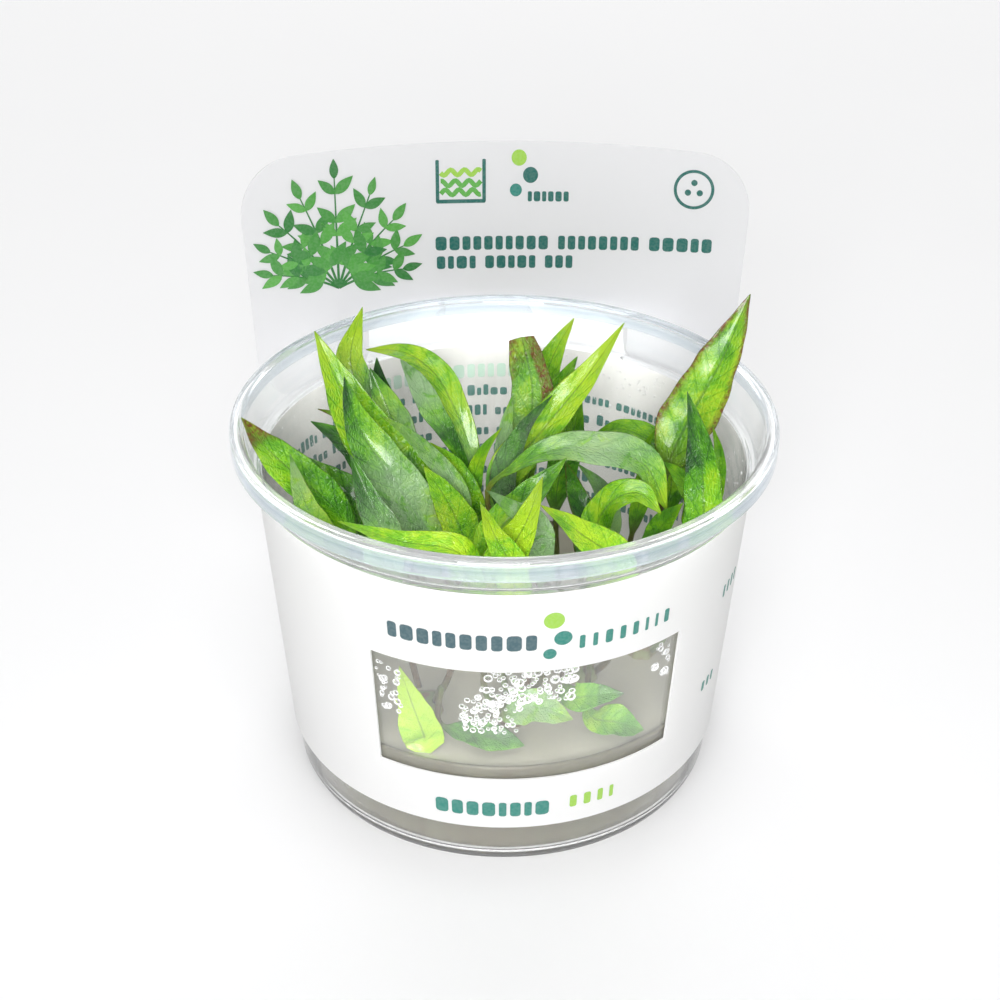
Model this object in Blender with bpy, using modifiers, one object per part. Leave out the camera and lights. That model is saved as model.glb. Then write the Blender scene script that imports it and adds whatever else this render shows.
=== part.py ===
# An aquarium plant, Cryptocoryne wendtii, grown in a clear cup of jelly with a printed sleeve.
# Millimetres below, turned to metres by MM. Origin: centre of the cup's underside. Z up, front -Y.
import math

import bmesh
import bpy
import numpy as np

MM = 0.001
GAP = 0.3            # space left between touching pieces

# Cup: a thin-walled turned cup with a lid seat and a turned-down flange
ROUND_STEPS = 48
CUP_HEIGHT = 72.2
FLANGE_R = 50.0
FLANGE_BOTTOM = 68.2
FLANGE_WALL = 0.8
BASE_R = 40.2
FLOOR = 1.0
WALL = 0.6
WALL_FOOT = (40.6, 1.6)      # radius and height where the straight outer wall starts
WALL_HEAD = (45.2, 63.0)     # and where it ends, under the lid seat
LEDGE_RISE = 1.3             # the lid's ledge stands this far over the straight wall's end
SEAT_STEP = 1.2              # width of the ledge that the lid stops on
RIM_INNER_R = 47.6
FLANGE_ROOF = 1.2            # thickness of the flange's flat top
TOP_ROUND = 0.7
FOOT_ROUND = 1.4

# Sleeve: a thin white sheet, a cone band with a front window, a tab and a flag at the back
SHEET = 0.36
BAND_BOTTOM = 9.1
BAND_TOP = 62.9
WINDOW_BOTTOM = 21.0
WINDOW_TOP = 46.3
WINDOW_FROM = -31.0          # degrees round from the front, + towards +X
WINDOW_SPAN = 75.0
BAND_STEP = 7.5              # degrees
FLAG_TURN = 2.3              # degrees about Z: the sleeve sits slightly crooked
FLAG_Y = 50.55
FLAG_BOW_R = 320.0
FLAG_FOOT = 50.0
FLAG_TOP = 103.2
FLAG_CROWN = 1.8             # the top edge rises this much towards its middle
FLAG_HALF = (49.0, 50.6)     # half width low down and at the widest height
FLAG_WIDEST = 90.0
FLAG_CORNER = (11.5, 12.5)   # top corner radii, across and up
EAR_CORNER = 7.0
CREASE = 70.0
TAB_PART = (0.38, 0.56)      # share of the half width: tab at the crease, and lower down
# The tab's rows: height, and share of the way in from the flag to the band
TAB_ROWS = ((66.4, 0.10), (62.6, 0.42), (58.6, 0.80), (55.0, 1.0), (51.6, 1.0))

# Gel and the crowns that stand in it
GEL_TOP = 22.0
MENISCUS = 1.1
CROWN_R = 3.0
CROWN_FOOT = 17.6
CROWN_TOP = 25.4
CROWN_STEPS = 8
GEL_STEPS = 36

# Main roots: a few from each crown's foot, running out and down through the gel
ROOTS_EACH = 3
ROOT_STEPS = 4
ROOT_SIDES = 4
ROOT_R = (0.55, 0.28)        # radius at the crown and at the tip
ROOT_START = (2.0, 1.5)      # out from the crown's middle, and up from its foot
ROOT_REACH = 13.0
ROOT_DROP = 11.5
ROOT_SPREAD = 62.0           # degrees between neighbouring roots
ROOT_BEND = 26.0             # degrees that a root turns by on its way
ROOT_LIMIT = 36.0            # a root's tip stays this near the cup's axis

# Leaves
STALK_R = 0.65
RIB = 0.6                    # half thickness of a blade at its midrib
CURL = 0.22                  # rise of the margins over the midrib, part of the half width
STALK_RINGS = 3
BLADE_RINGS = 8
UP_FRONT = (0, -6, 8)


def leaf(*path, width, blade, face=UP_FRONT, peak=0.38, blunt=False):
    """One leaf: points that its midrib passes, tip last; greatest width; where along it the
    blade starts; the direction that the blade's upper side looks in; where along the blade it
    is widest."""
    return {"path": path, "width": width, "blade": blade, "face": face, "peak": peak, "blunt": blunt}


# Each plantlet: where its crown stands, and its leaves
PLANTLETS = {
    "middle": ((-5, -9), [
        leaf((-13, -8, 53.5), (-20.5, -5, 63), (-28, -1, 73), (-34.5, 4, 86.5), width=10.5, blade=0.33,
             face=(2, -7, 6), peak=0.42),
        leaf((-14, -13, 54.5), (-20.5, -11, 65), (-26, -8, 73), (-28.5, -6, 82.5), width=9, blade=0.38,
             face=(1, -7, 7), peak=0.42),
        leaf((-7.5, -14, 54.5), (-10.5, -12.5, 61), (-14.5, -11, 67), width=6.8, blade=0.5, face=(1, -8, 6),
             peak=0.45),
        leaf((-7.5, -9.5, 59), (-12.5, -8, 66), (-17, -9, 72), (-22, -11, 77.5), width=3.6, blade=0.42,
             peak=0.5),
        leaf((-6.5, -7, 56.5), (-9, -5.5, 63), (-13.5, -5, 68.5), width=5.4, blade=0.5, face=(1, -7, 7),
             peak=0.42),
        leaf((-6, -4.5, 56), (-5, -3.5, 62.5), (-3, -3.5, 67), (-0.5, -3, 70.5), width=3.6, blade=0.42,
             face=(-1, -7, 7), peak=0.45),
        leaf((-2.5, -1, 50.5), (-2, 0, 53), (-1.5, 1, 56), width=2.6, blade=0.6, face=(0, -7, 7)),
        leaf((-8, -9, 54.5), (-9.5, -9, 58.5), (-11.5, -9, 62), width=3.2, blade=0.6, face=(0, -7, 7)),
    ]),
    "back": ((-11, 4), [
        leaf((-6, 1, 61), (-7.5, 3, 66), (-10, 6, 71), (-13, 9, 75), (-18.5, 12.5, 77.5), (-26.5, 17, 76),
             width=5.6, blade=0.36, face=(0, -4, 9), peak=0.6),
        leaf((-6.5, -1.5, 59), (-10, -0.5, 66.5), (-13, 0.5, 71.5), (-15.5, 1.5, 76), (-19, 2.5, 81.5),
             width=4.4, blade=0.42, peak=0.72),
        leaf((-27, 9, 69.5), (-29, 13, 76), (-26.5, 15, 86), width=8.2, blade=0.42, face=(0, -8, 5),
             peak=0.42),
        leaf((-18.5, 1, 62), (-21.5, 4, 70), (-25, 7, 77.5), width=7.2, blade=0.42, face=(-1, -8, 6),
             peak=0.55),
        leaf((-22.5, 10, 69), (-23.5, 11, 72.5), (-24, 12, 77), width=3.6, blade=0.5, face=(-1, -8, 6),
             peak=0.65),
    ]),
    "left": ((-22, -4), [
        leaf((-30, -8, 54), (-37.5, -7, 62), (-43.5, -6, 68), (-47.5, -5, 73.5), width=7.4, blade=0.38,
             face=(1, -6, 8), peak=0.55),
        leaf((-28.5, -1, 52.5), (-33, 1.5, 56.5), (-39, 3.5, 61), width=7, blade=0.45, face=(1, -6, 8)),
        leaf((-34.5, -12, 56), (-36.5, -12.5, 62.5), (-38, -13, 70.5), width=4.8, blade=0.45,
             face=(0, -8, 6), peak=0.4),
        leaf((-27.5, 3.5, 60.5), (-31, 5, 63.5), (-36.5, 7, 66), width=4.8, blade=0.5, peak=0.5),
        leaf((-30, 14, 60), (-32.5, 17, 61.5), (-36.5, 19, 62), width=3, blade=0.6),
    ]),
    "centre": ((6, -1), [
        leaf((1.5, -1, 60.5), (4.5, 1, 68), (5, 3, 76), (3, 5, 85), width=8.2, blade=0.36, face=(-1, -9, 4),
             blunt=True),
        leaf((4.5, 9, 54.5), (6.5, 13, 67), (9, 15, 75.5), (13, 17, 83), width=6.6, blade=0.42,
             face=(-3, -8, 5), peak=0.5),
        leaf((0.5, -6, 61.5), (7, -3, 70), (14.5, 0, 79), (21.5, 3, 89), width=7.4, blade=0.3,
             face=(-3, -7, 6), peak=0.42),
        leaf((4, 5, 61), (9, 8, 70), (13.5, 10, 78.5), width=6, blade=0.42, face=(-3, -7, 6), peak=0.55),
        leaf((0, -9, 62), (3, -8, 72), (8.5, -7, 79.5), width=5, blade=0.45, face=(-2, -7, 7)),
        leaf((0, -4, 59.5), (0, -2, 67.5), (1.5, 0, 76), width=4.4, blade=0.36, face=(1, -8, 5), peak=0.5),
        leaf((10, 3, 53.5), (12.5, 6, 63), (14.5, 8, 70.5), width=6, blade=0.5, face=(0, -8, 5), peak=0.45),
    ]),
    "right": ((27, -6), [
        leaf((30, -3, 61.5), (34.5, 1, 71.5), (39.5, 5, 80), (44.5, 9, 92), width=10.4, blade=0.51,
             face=(-4, -8, 5), peak=0.36),
        leaf((35.5, -15, 56.5), (35.5, -13, 65.5), (34, -11, 74.5), (32, -10, 82), width=7.2, blade=0.3,
             face=(-1, -9, 4), peak=0.42),
        leaf((38.5, -8, 58.5), (39, -6, 66.5), (37.5, -5, 72.5), width=2.8, blade=0.5, face=(-1, -9, 4),
             peak=0.5),
        leaf((31.5, 3, 56.5), (28.5, 6, 61.5), (22, 8, 64), (16.5, 9, 62), width=7, blade=0.42,
             face=(0, -3, 9), peak=0.5),
        leaf((26.5, 1.5, 59), (26.2, 1.2, 63.5), (28, 1, 68.5), width=3.4, blade=0.5),
        leaf((35.5, -5.5, 55.5), (32.5, -5, 61), (29, -5.5, 65), width=5.6, blade=0.5, face=(1, -7, 7),
             peak=0.45),
        leaf((27.5, -12, 52), (29, -15, 58), (31.5, -19, 64.5), width=4.6, blade=0.5, face=(0, -7, 7),
             peak=0.45),
    ]),
    "front": ((2, -26), [
        leaf((-1.5, -25, 60.5), (4, -21, 66), (11, -17, 72.5), width=7, blade=0.42, face=(-2, -7, 7),
             peak=0.45),
        leaf((0.5, -31, 60), (4, -31, 68.5), (6.5, -30, 76.5), width=8.6, blade=0.33, face=(-1, -8, 6),
             peak=0.36),
        leaf((18.5, -33, 61), (12.5, -35, 68.5), (6, -36, 74.5), width=7.4, blade=0.4, peak=0.42),
        leaf((5.5, -27, 64.5), (1, -28, 69), (-3, -29, 73), width=5, blade=0.5, face=(0, -7, 7), peak=0.45),
        leaf((1, -35, 62), (-1.5, -35.5, 68), (-4, -36, 75), width=6, blade=0.45, face=(0, -8, 6),
             peak=0.4),
        leaf((-0.5, -35, 29.5), (5.5, -37, 33), (12.5, -36.5, 30), width=6.4, blade=0.4, face=(0, -5, 9),
             peak=0.45),
    ]),
    "inner": ((15, -14), [
        leaf((-3, -14, 63.5), (2, -13, 68), (9, -12, 71), (17.5, -11, 70.5), (25, -11, 67.5),
             (29.5, -13, 59), width=7.2, blade=0.5, face=(0, -5, 9), peak=0.6),
        leaf((16.5, -16, 57), (20, -16, 63.5), (24, -16, 64.5), (28, -18, 61.5), width=6.4, blade=0.4,
             face=(0, -4, 9), peak=0.6),
        leaf((15, -9, 54.5), (13, -7, 59.5), (11, -6, 65.5), width=5, blade=0.45, face=(1, -8, 6),
             peak=0.45),
        leaf((19.5, -6, 54.5), (17.5, -4, 58.5), (13.5, -3, 63), width=4, blade=0.5, face=(1, -6, 8),
             peak=0.45),
        leaf((16, -30, 25.5), (20.5, -32.3, 26), (25.5, -32, 24.2), width=6, blade=0.5, face=(0, -5, 9),
             peak=0.55),
        leaf((12.5, -32, 31.5), (16.5, -34, 33.5), (21.5, -34, 34), width=5, blade=0.45, face=(0, -7, 7),
             peak=0.5),
    ]),
    "edge": ((-14, -24), [
        leaf((-7.5, -36.5, 65), (-17.5, -35, 66.5), (-28.5, -29.5, 67), width=6, blade=0.35,
             face=(0, -5, 9), peak=0.36),
        leaf((-21, -22, 59), (-24, -20, 66), (-27, -17, 73), width=6.4, blade=0.4, face=(1, -8, 6),
             peak=0.42),
        leaf((-14, -35, 24.5), (-16, -36, 33), (-18, -37, 42), width=7.2, blade=0.3, face=(0, -9, 4),
             peak=0.3),
        leaf((-11.5, -32, 25.5), (-4.5, -36, 26), (4, -37.3, 24.6), width=5.4, blade=0.4, face=(0, -5, 9),
             peak=0.55),
    ]),
}


def clear_scene():
    for old in list(bpy.data.objects):
        bpy.data.objects.remove(old, do_unlink=True)


def make_collection(name):
    collection = bpy.data.collections.new(name)
    bpy.context.scene.collection.children.link(collection)
    return collection


def make_material(name, colour, roughness, metallic=0.0, alpha=1.0):
    material = bpy.data.materials.new(name)
    material.use_nodes = True
    shader = material.node_tree.nodes["Principled BSDF"]
    shader.inputs["Base Color"].default_value = (*colour, 1.0)
    shader.inputs["Roughness"].default_value = roughness
    shader.inputs["Metallic"].default_value = metallic
    shader.inputs["Alpha"].default_value = alpha
    material.diffuse_color = (*colour, alpha)
    return material


def add_mesh(name, points, faces, material, collection, smooth_angle=35.0):
    """A mesh object from points in millimetres."""
    mesh = bpy.data.meshes.new(name)
    mesh.from_pydata((np.asarray(points, float) * MM).tolist(), [], faces)
    mesh.materials.append(material)
    mesh.shade_smooth()
    mesh.set_sharp_from_angle(angle=math.radians(smooth_angle))
    thing = bpy.data.objects.new(name, mesh)
    collection.objects.link(thing)
    return thing


def combine(thing, operation, other):
    step = thing.modifiers.new(other.name, "BOOLEAN")
    step.operation = operation
    step.solver = "EXACT"
    step.object = other


def as_guide(thing):
    thing.hide_render = True
    thing.display_type = "WIRE"


def add_turned(name, profile, material, collection, steps=ROUND_STEPS):
    """A profile of radius and height, from the axis outwards over the top and down the outside."""
    points = [(r, 0.0, z) for r, z in profile]
    mesh = bpy.data.meshes.new(name)
    edges = [(i, i + 1) for i in range(len(points) - 1)]
    mesh.from_pydata((np.array(points) * MM).tolist(), edges, [])
    mesh.materials.append(material)
    thing = bpy.data.objects.new(name, mesh)
    collection.objects.link(thing)
    screw = thing.modifiers.new("turn", "SCREW")
    screw.axis = "Z"
    screw.angle = math.tau
    screw.steps = steps
    screw.render_steps = steps
    screw.use_merge_vertices = True
    screw.merge_threshold = 0.00005
    screw.use_smooth_shade = True
    return thing


def wall_radius(z):
    """Outer radius of the straight cup wall at a height."""
    (r0, z0), (r1, z1) = WALL_FOOT, WALL_HEAD
    return r0 + (r1 - r0) * (z - z0) / (z1 - z0)


def make_cup(material, collection):
    foot_r, foot_z = WALL_FOOT
    head_r, head_z = WALL_HEAD
    ledge_z = head_z + LEDGE_RISE
    ledge_r = wall_radius(ledge_z) - WALL
    seat_r = ledge_r + SEAT_STEP
    under_top = CUP_HEIGHT - FLANGE_ROOF
    floor_r = foot_r - WALL
    inside = [
        (0.0, FLOOR), (floor_r - FOOT_ROUND, FLOOR),
        (wall_radius(FLOOR + FOOT_ROUND) - WALL, FLOOR + FOOT_ROUND),
        (ledge_r, ledge_z), (seat_r, ledge_z + 0.2),
        (RIM_INNER_R - 0.2, CUP_HEIGHT - TOP_ROUND), (RIM_INNER_R + 0.2, CUP_HEIGHT),
    ]
    outside = [
        (FLANGE_R - TOP_ROUND, CUP_HEIGHT), (FLANGE_R - 0.1, CUP_HEIGHT - 0.4),
        (FLANGE_R, CUP_HEIGHT - 1.1), (FLANGE_R, FLANGE_BOTTOM),
        (FLANGE_R - FLANGE_WALL, FLANGE_BOTTOM), (FLANGE_R - FLANGE_WALL, under_top),
        (RIM_INNER_R + FLANGE_WALL, under_top), (seat_r + FLANGE_WALL, ledge_z - 0.4),
        (head_r, head_z), (foot_r, foot_z),
        (BASE_R, 0.6), (BASE_R - TOP_ROUND, 0.0), (0.0, 0.0),
    ]
    return add_turned("cup", inside + outside, material, collection)


def gel_radius(z):
    return wall_radius(z) - WALL - GAP


def make_gel(material, collection):
    low = FLOOR + GAP
    edge_z = GEL_TOP + MENISCUS
    edge_r = gel_radius(GEL_TOP)
    profile = [
        (0.0, GEL_TOP), (edge_r - 3.2, GEL_TOP), (edge_r - 1.0, GEL_TOP + 0.35 * MENISCUS),
        (gel_radius(edge_z), edge_z), (gel_radius(low + 1.6), low + 1.6),
        (gel_radius(low) - FOOT_ROUND, low), (0.0, low),
    ]
    return add_turned("gel", profile, material, collection, steps=GEL_STEPS)


def make_crown(place, material, collection):
    r = CROWN_R
    profile = [(0.0, CROWN_TOP), (0.62 * r, CROWN_TOP - 0.5), (r, CROWN_TOP - 2.2),
               (r, CROWN_FOOT + 1.2), (0.75 * r, CROWN_FOOT), (0.0, CROWN_FOOT)]
    return add_turned("crown_" + place, profile, material, collection, steps=CROWN_STEPS)


def cut_pocket(place, material, gel, cutters):
    """A round pocket in the gel, a gap wider than the crown that stands in it."""
    r = CROWN_R + GAP
    top, foot = GEL_TOP + 4.0, CROWN_FOOT - GAP
    profile = [(0.0, top), (r, top), (r, foot), (0.0, foot)]
    pocket = add_turned("pocket_" + place, profile, material, cutters, steps=CROWN_STEPS)
    as_guide(pocket)
    combine(gel, "DIFFERENCE", pocket)
    return pocket


def root_lines(place):
    """The main roots' middle lines in the crown's own place: they fan out away from the cup's
    axis, turn a little as they go, and end inside the gel."""
    (x, y), _ = PLANTLETS[place]
    outward = math.atan2(y, x)
    start, rise = ROOT_START
    t = np.linspace(0.0, 1.0, ROOT_STEPS)
    lines = []
    for k in range(ROOTS_EACH):
        way = k - (ROOTS_EACH - 1) / 2
        heading = outward + math.radians(ROOT_SPREAD) * way
        inward = x * math.cos(heading) + y * math.sin(heading)
        room = math.sqrt(inward ** 2 - x * x - y * y + ROOT_LIMIT ** 2) - inward
        reach = min(ROOT_REACH - 2.0 * abs(way), room)
        turn = heading + math.radians(ROOT_BEND) * t * (1 if k % 2 else -1)
        r = start + (reach - start) * t
        z = CROWN_FOOT + rise - (ROOT_DROP - 2.0 * k) * t ** 1.3
        lines.append(np.stack([r * np.cos(turn), r * np.sin(turn), z], -1))
    return lines


def add_roots(name, place, extra, material, collection):
    """Tapered tubes along the root lines, extra wider than the roots and longer at their tips."""
    points, faces = [], []
    a = np.linspace(0.0, math.tau, ROOT_SIDES, endpoint=False)[None, :, None]
    girth = np.linspace(*ROOT_R, ROOT_STEPS)[:, None, None] + extra
    for line in root_lines(place):
        along = unit(np.gradient(line, axis=0))
        line[-1] += extra * along[-1]
        side = unit(np.cross(along, (0.0, 0.0, 1.0)))
        up = np.cross(side, along)
        first = len(points)
        rings = line[:, None] + girth * (side[:, None] * np.cos(a) + up[:, None] * np.sin(a))
        points += rings.reshape(-1, 3).tolist()
        for i in range(ROOT_STEPS - 1):
            for j in range(ROOT_SIDES):
                here, beside = first + i * ROOT_SIDES + j, first + i * ROOT_SIDES + (j + 1) % ROOT_SIDES
                faces.append((here, here + ROOT_SIDES, beside + ROOT_SIDES, beside))
        faces.append(tuple(first + j for j in range(ROOT_SIDES)))
        faces.append(tuple(len(points) - 1 - j for j in range(ROOT_SIDES)))
    thing = add_mesh(name, points, faces, material, collection)
    as_guide(thing)
    return thing


def make_crowns(material, gel, collection, cutters):
    """Each crown has its roots joined on; the gel has a pocket and channels a gap wider."""
    for place, ((x, y), _) in PLANTLETS.items():
        crown = make_crown(place, material, collection)
        roots = add_roots("roots_" + place, place, 0.0, material, cutters)
        channels = add_roots("channels_" + place, place, GAP, material, cutters)
        combine(crown, "UNION", roots)
        pocket = cut_pocket(place, material, gel, cutters)
        combine(pocket, "UNION", channels)
        for thing in (crown, roots, channels, pocket):
            thing.location = (x * MM, y * MM, 0.0)


def solidify(thing, thickness, offset):
    shell = thing.modifiers.new("sheet", "SOLIDIFY")
    shell.thickness = thickness * MM
    shell.offset = offset
    shell.use_even_offset = True


def make_band(material, collection):
    """A grid bent into a cone: columns every few degrees, with the window's cells left out."""
    columns = round(360.0 / BAND_STEP)
    heights = [BAND_BOTTOM, WINDOW_BOTTOM, WINDOW_TOP, BAND_TOP]
    window_columns = round(WINDOW_SPAN / BAND_STEP)
    points = []
    for i in range(columns):
        turn = math.radians(WINDOW_FROM + BAND_STEP * i)
        for z in heights:
            r = wall_radius(z) + GAP + SHEET / 2
            points.append((r * math.sin(turn), -r * math.cos(turn), z))
    rows = len(heights)
    faces = []
    for i in range(columns):
        j = (i + 1) % columns
        for k in range(rows - 1):
            if k == 1 and i < window_columns:
                continue
            faces.append((i * rows + k, j * rows + k, j * rows + k + 1, i * rows + k + 1))
    band = add_mesh("label", points, faces, material, collection)
    solidify(band, SHEET, 0.0)
    return band


def flag_half(z):
    """Half width of the flag at a height, with its rounded lower and upper corners."""
    low, wide = FLAG_HALF
    half = low + (wide - low) * min(1.0, (z - FLAG_FOOT) / (FLAG_WIDEST - FLAG_FOOT))
    across, up = FLAG_CORNER
    rise = max(0.0, (z - (FLAG_TOP - up)) / up)
    half -= across * (1.0 - math.sqrt(max(0.0, 1.0 - min(rise, 0.999) ** 2)))
    drop = max(0.0, 1.0 - (z - FLAG_FOOT) / EAR_CORNER)
    return half - EAR_CORNER * (1.0 - math.sqrt(max(0.0, 1.0 - drop ** 2)))


def flag_point(share, z):
    """A point of the flag, bowed about a tall axis in front of it, before its turn."""
    x = share * flag_half(z)
    lift = max(0.0, (z - FLAG_WIDEST) / (FLAG_TOP - FLAG_WIDEST))
    return x, FLAG_Y - x * x / (2 * FLAG_BOW_R), z + FLAG_CROWN * lift * (1.0 - share * share)


def make_flag(material, cutters):
    """Rows of points: the flag, notched in the middle below the crease, and the tab that runs
    from the crease in to the band."""
    crease_part, low_part = TAB_PART
    shares = [-1.0, -0.8, -low_part, *np.linspace(-crease_part, crease_part, 7), low_part, 0.8, 1.0]
    heights = [FLAG_FOOT, FLAG_FOOT + 2, FLAG_FOOT + 5, 60.0, 66.0, CREASE, 80.0, FLAG_WIDEST,
               95.0, 99.0, 101.8, FLAG_TOP]
    first, last = shares.index(-low_part), shares.index(low_part)
    tab_first, tab_last = shares.index(-crease_part), shares.index(crease_part)
    crease_row = heights.index(CREASE)
    points = [flag_point(s, z) for z in heights for s in shares]
    wide = len(shares)
    faces = []
    for k in range(len(heights) - 1):
        for i in range(wide - 1):
            below_crease = k < crease_row
            under_tab = tab_first <= i < tab_last if k == crease_row - 1 else first <= i < last
            if below_crease and under_tab:
                continue
            faces.append((k * wide + i, k * wide + i + 1, (k + 1) * wide + i + 1, (k + 1) * wide + i))
    above = [crease_row * wide + i for i in range(tab_first, tab_last + 1)]
    for z, inward in TAB_ROWS:
        row = []
        for i in range(tab_first, tab_last + 1):
            x = shares[i] / crease_part * (low_part - 0.02) * FLAG_HALF[0]
            band_r = wall_radius(z) + GAP + SHEET
            band_y = math.sqrt(band_r ** 2 - x ** 2)
            flag_y = FLAG_Y - x * x / (2 * FLAG_BOW_R)
            row.append(len(points))
            points.append((x, flag_y + (band_y - flag_y) * inward, z))
        for i in range(len(row) - 1):
            faces.append((row[i], row[i + 1], above[i + 1], above[i]))
        above = row
    flag = add_mesh("label_flag", points, faces, material, cutters)
    solidify(flag, SHEET, 0.0)
    flag.rotation_euler = (0.0, 0.0, math.radians(FLAG_TURN))
    as_guide(flag)
    return flag


def make_label(material, collection, cutters):
    band = make_band(material, collection)
    combine(band, "UNION", make_flag(material, cutters))
    return band


def unit(v):
    return v / np.linalg.norm(v, axis=-1, keepdims=True)


def smooth_path(path, per_span=24):
    """Catmull-Rom curve through the points, knots spaced by the root of each chord."""
    p = np.array(path, float)
    p = np.vstack([2 * p[0] - p[1], p, 2 * p[-1] - p[-2]])
    knot = np.concatenate([[0.0], np.cumsum(np.linalg.norm(np.diff(p, axis=0), axis=1) ** 0.5)])
    pieces = []
    for i in range(1, len(p) - 2):
        t = np.linspace(knot[i], knot[i + 1], per_span, endpoint=False)[:, None]

        def blend(a, b, ka, kb):
            return (kb - t) / (kb - ka) * a + (t - ka) / (kb - ka) * b
        a1 = blend(p[i - 1], p[i], knot[i - 1], knot[i])
        a2 = blend(p[i], p[i + 1], knot[i], knot[i + 1])
        a3 = blend(p[i + 1], p[i + 2], knot[i + 1], knot[i + 2])
        b1 = blend(a1, a2, knot[i - 1], knot[i + 1])
        b2 = blend(a2, a3, knot[i], knot[i + 2])
        pieces.append(blend(b1, b2, knot[i], knot[i + 1]))
    return np.vstack(pieces + [p[-2][None]])


def sample(curve, where):
    """Points and tangents at shares of the curve's length."""
    steps = np.concatenate([[0.0], np.cumsum(np.linalg.norm(np.diff(curve, axis=0), axis=1))])
    even = np.linspace(0.0, 1.0, 200)
    dense = np.stack([np.interp(even * steps[-1], steps, curve[:, k]) for k in range(3)], -1)
    tangent = unit(np.gradient(dense, axis=0))

    def pick(values):
        return np.stack([np.interp(where, even, values[:, k]) for k in range(3)], -1)
    return pick(dense), unit(pick(tangent))


def seat_angles(place):
    """Leaves sit evenly round their crown, in the order of the directions they head in."""
    (cx, cy), leaves = PLANTLETS[place]
    heading = [math.atan2(item["path"][0][1] - cy, item["path"][0][0] - cx) for item in leaves]
    order = sorted(range(len(leaves)), key=lambda i: heading[i])
    spare = sum(np.exp(1j * (heading[i] - math.tau * n / len(order))) for n, i in enumerate(order))
    start = float(np.angle(spare))
    return {i: (start + math.tau * n / len(order), n % 2) for n, i in enumerate(order)}


def leaf_width(t, item):
    """Half width along the leaf: a thin stalk, then a blade that swells and tapers to a point."""
    start = item["blade"]
    u = np.clip((t - start) / (1.0 - start), 0.0, 1.0)
    if item["blunt"]:
        blade = np.sin(math.pi * 0.86 * u ** 1.15) ** 0.7
    else:
        skew = math.log(0.5) / math.log(item["peak"])
        blade = 1.02 * np.sin(math.pi * np.minimum(u, 0.99999) ** skew) ** 0.95
    stalk = STALK_R * (1.0 - 0.45 * t) * np.sqrt(np.clip((1.0 - t) / 0.12, 0.0, 1.0))
    return np.maximum(item["width"] / 2 * blade, stalk)


def make_leaf(name, place, item, seat, material, collection):
    """Rings of four points (margin, upper rib, margin, lower rib) along a curve from the crown."""
    (cx, cy), _ = PLANTLETS[place]
    angle, tier = seat
    out = np.array([math.cos(angle), math.sin(angle), 0.0])
    low = GEL_TOP + 1.6 + 1.9 * tier
    base = [np.array([cx, cy, low]) + (CROWN_R + 0.5) * out,
            np.array([cx, cy, low + 4.0]) + (CROWN_R + 2.2 - 0.9 * tier) * out]
    start = item["blade"]
    t = np.concatenate([np.linspace(0.0, start, STALK_RINGS, endpoint=False),
                        np.linspace(start, 0.995, BLADE_RINGS + 1)])
    centre, tangent = sample(smooth_path(base + [np.array(p, float) for p in item["path"]]), t)
    side = unit(np.cross(tangent, unit(np.array(item["face"], float))))
    normal = np.cross(side, tangent)
    half = leaf_width(t, item)
    if not item["blunt"]:
        half[-1] = 0.08
    grown = np.clip((t - start) / (1.0 - start), 0.0, 1.0)
    rib = (RIB - 0.42 * grown)[:, None]
    curl = (CURL * np.clip((t - 0.9 * start) / 0.15, 0.0, 1.0) * half)[:, None]
    rings = np.stack([centre + side * half[:, None] + normal * curl, centre + 0.6 * rib * normal,
                      centre - side * half[:, None] + normal * curl, centre - 0.9 * rib * normal], 1)
    count = len(t)
    faces = [(0, 1, 2, 3), tuple(4 * (count - 1) + k for k in (3, 2, 1, 0))]
    for i in range(count - 1):
        for k in range(4):
            a, b = 4 * i + k, 4 * i + (k + 1) % 4
            faces.append((a, a + 4, b + 4, b))
    thing = add_mesh(name, rings.reshape(-1, 3), faces, material, collection, smooth_angle=60.0)
    shape = bmesh.new()
    shape.from_mesh(thing.data)
    bmesh.ops.triangulate(shape, faces=shape.faces)
    shape.to_mesh(thing.data)
    shape.free()
    return thing


def make_leaves(materials, collection):
    for place, (_, leaves) in PLANTLETS.items():
        seats = seat_angles(place)
        for i, item in enumerate(leaves):
            material = materials[i % len(materials)]
            make_leaf(f"leaf_{place}_{i + 1}", place, item, seats[i], material, collection)


def main():
    clear_scene()
    plant = make_collection("cryptocoryne_wendtii")
    cutters = make_collection("cutters")
    clear = make_material("clear_plastic", (0.86, 0.9, 0.92), 0.08, alpha=0.3)
    sheet = make_material("white_sheet", (0.9, 0.9, 0.89), 0.45)
    jelly = make_material("jelly", (0.45, 0.41, 0.33), 0.12, alpha=0.7)
    stem = make_material("crown_tissue", (0.32, 0.3, 0.1), 0.5)
    greens = [make_material("leaf_bright", (0.25, 0.5, 0.04), 0.35),
              make_material("leaf_mid", (0.14, 0.36, 0.04), 0.38),
              make_material("leaf_dark", (0.07, 0.2, 0.03), 0.4)]
    make_cup(clear, plant)
    make_label(sheet, plant, cutters)
    gel = make_gel(jelly, plant)
    make_crowns(stem, gel, plant, cutters)
    make_leaves(greens, plant)


main()
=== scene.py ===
# A potted Cryptocoryne wendtii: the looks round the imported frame.
# Own lengths are millimetres and angles degrees; each mesh is turned to metres as it is made. Front is -Y.
import math

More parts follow.
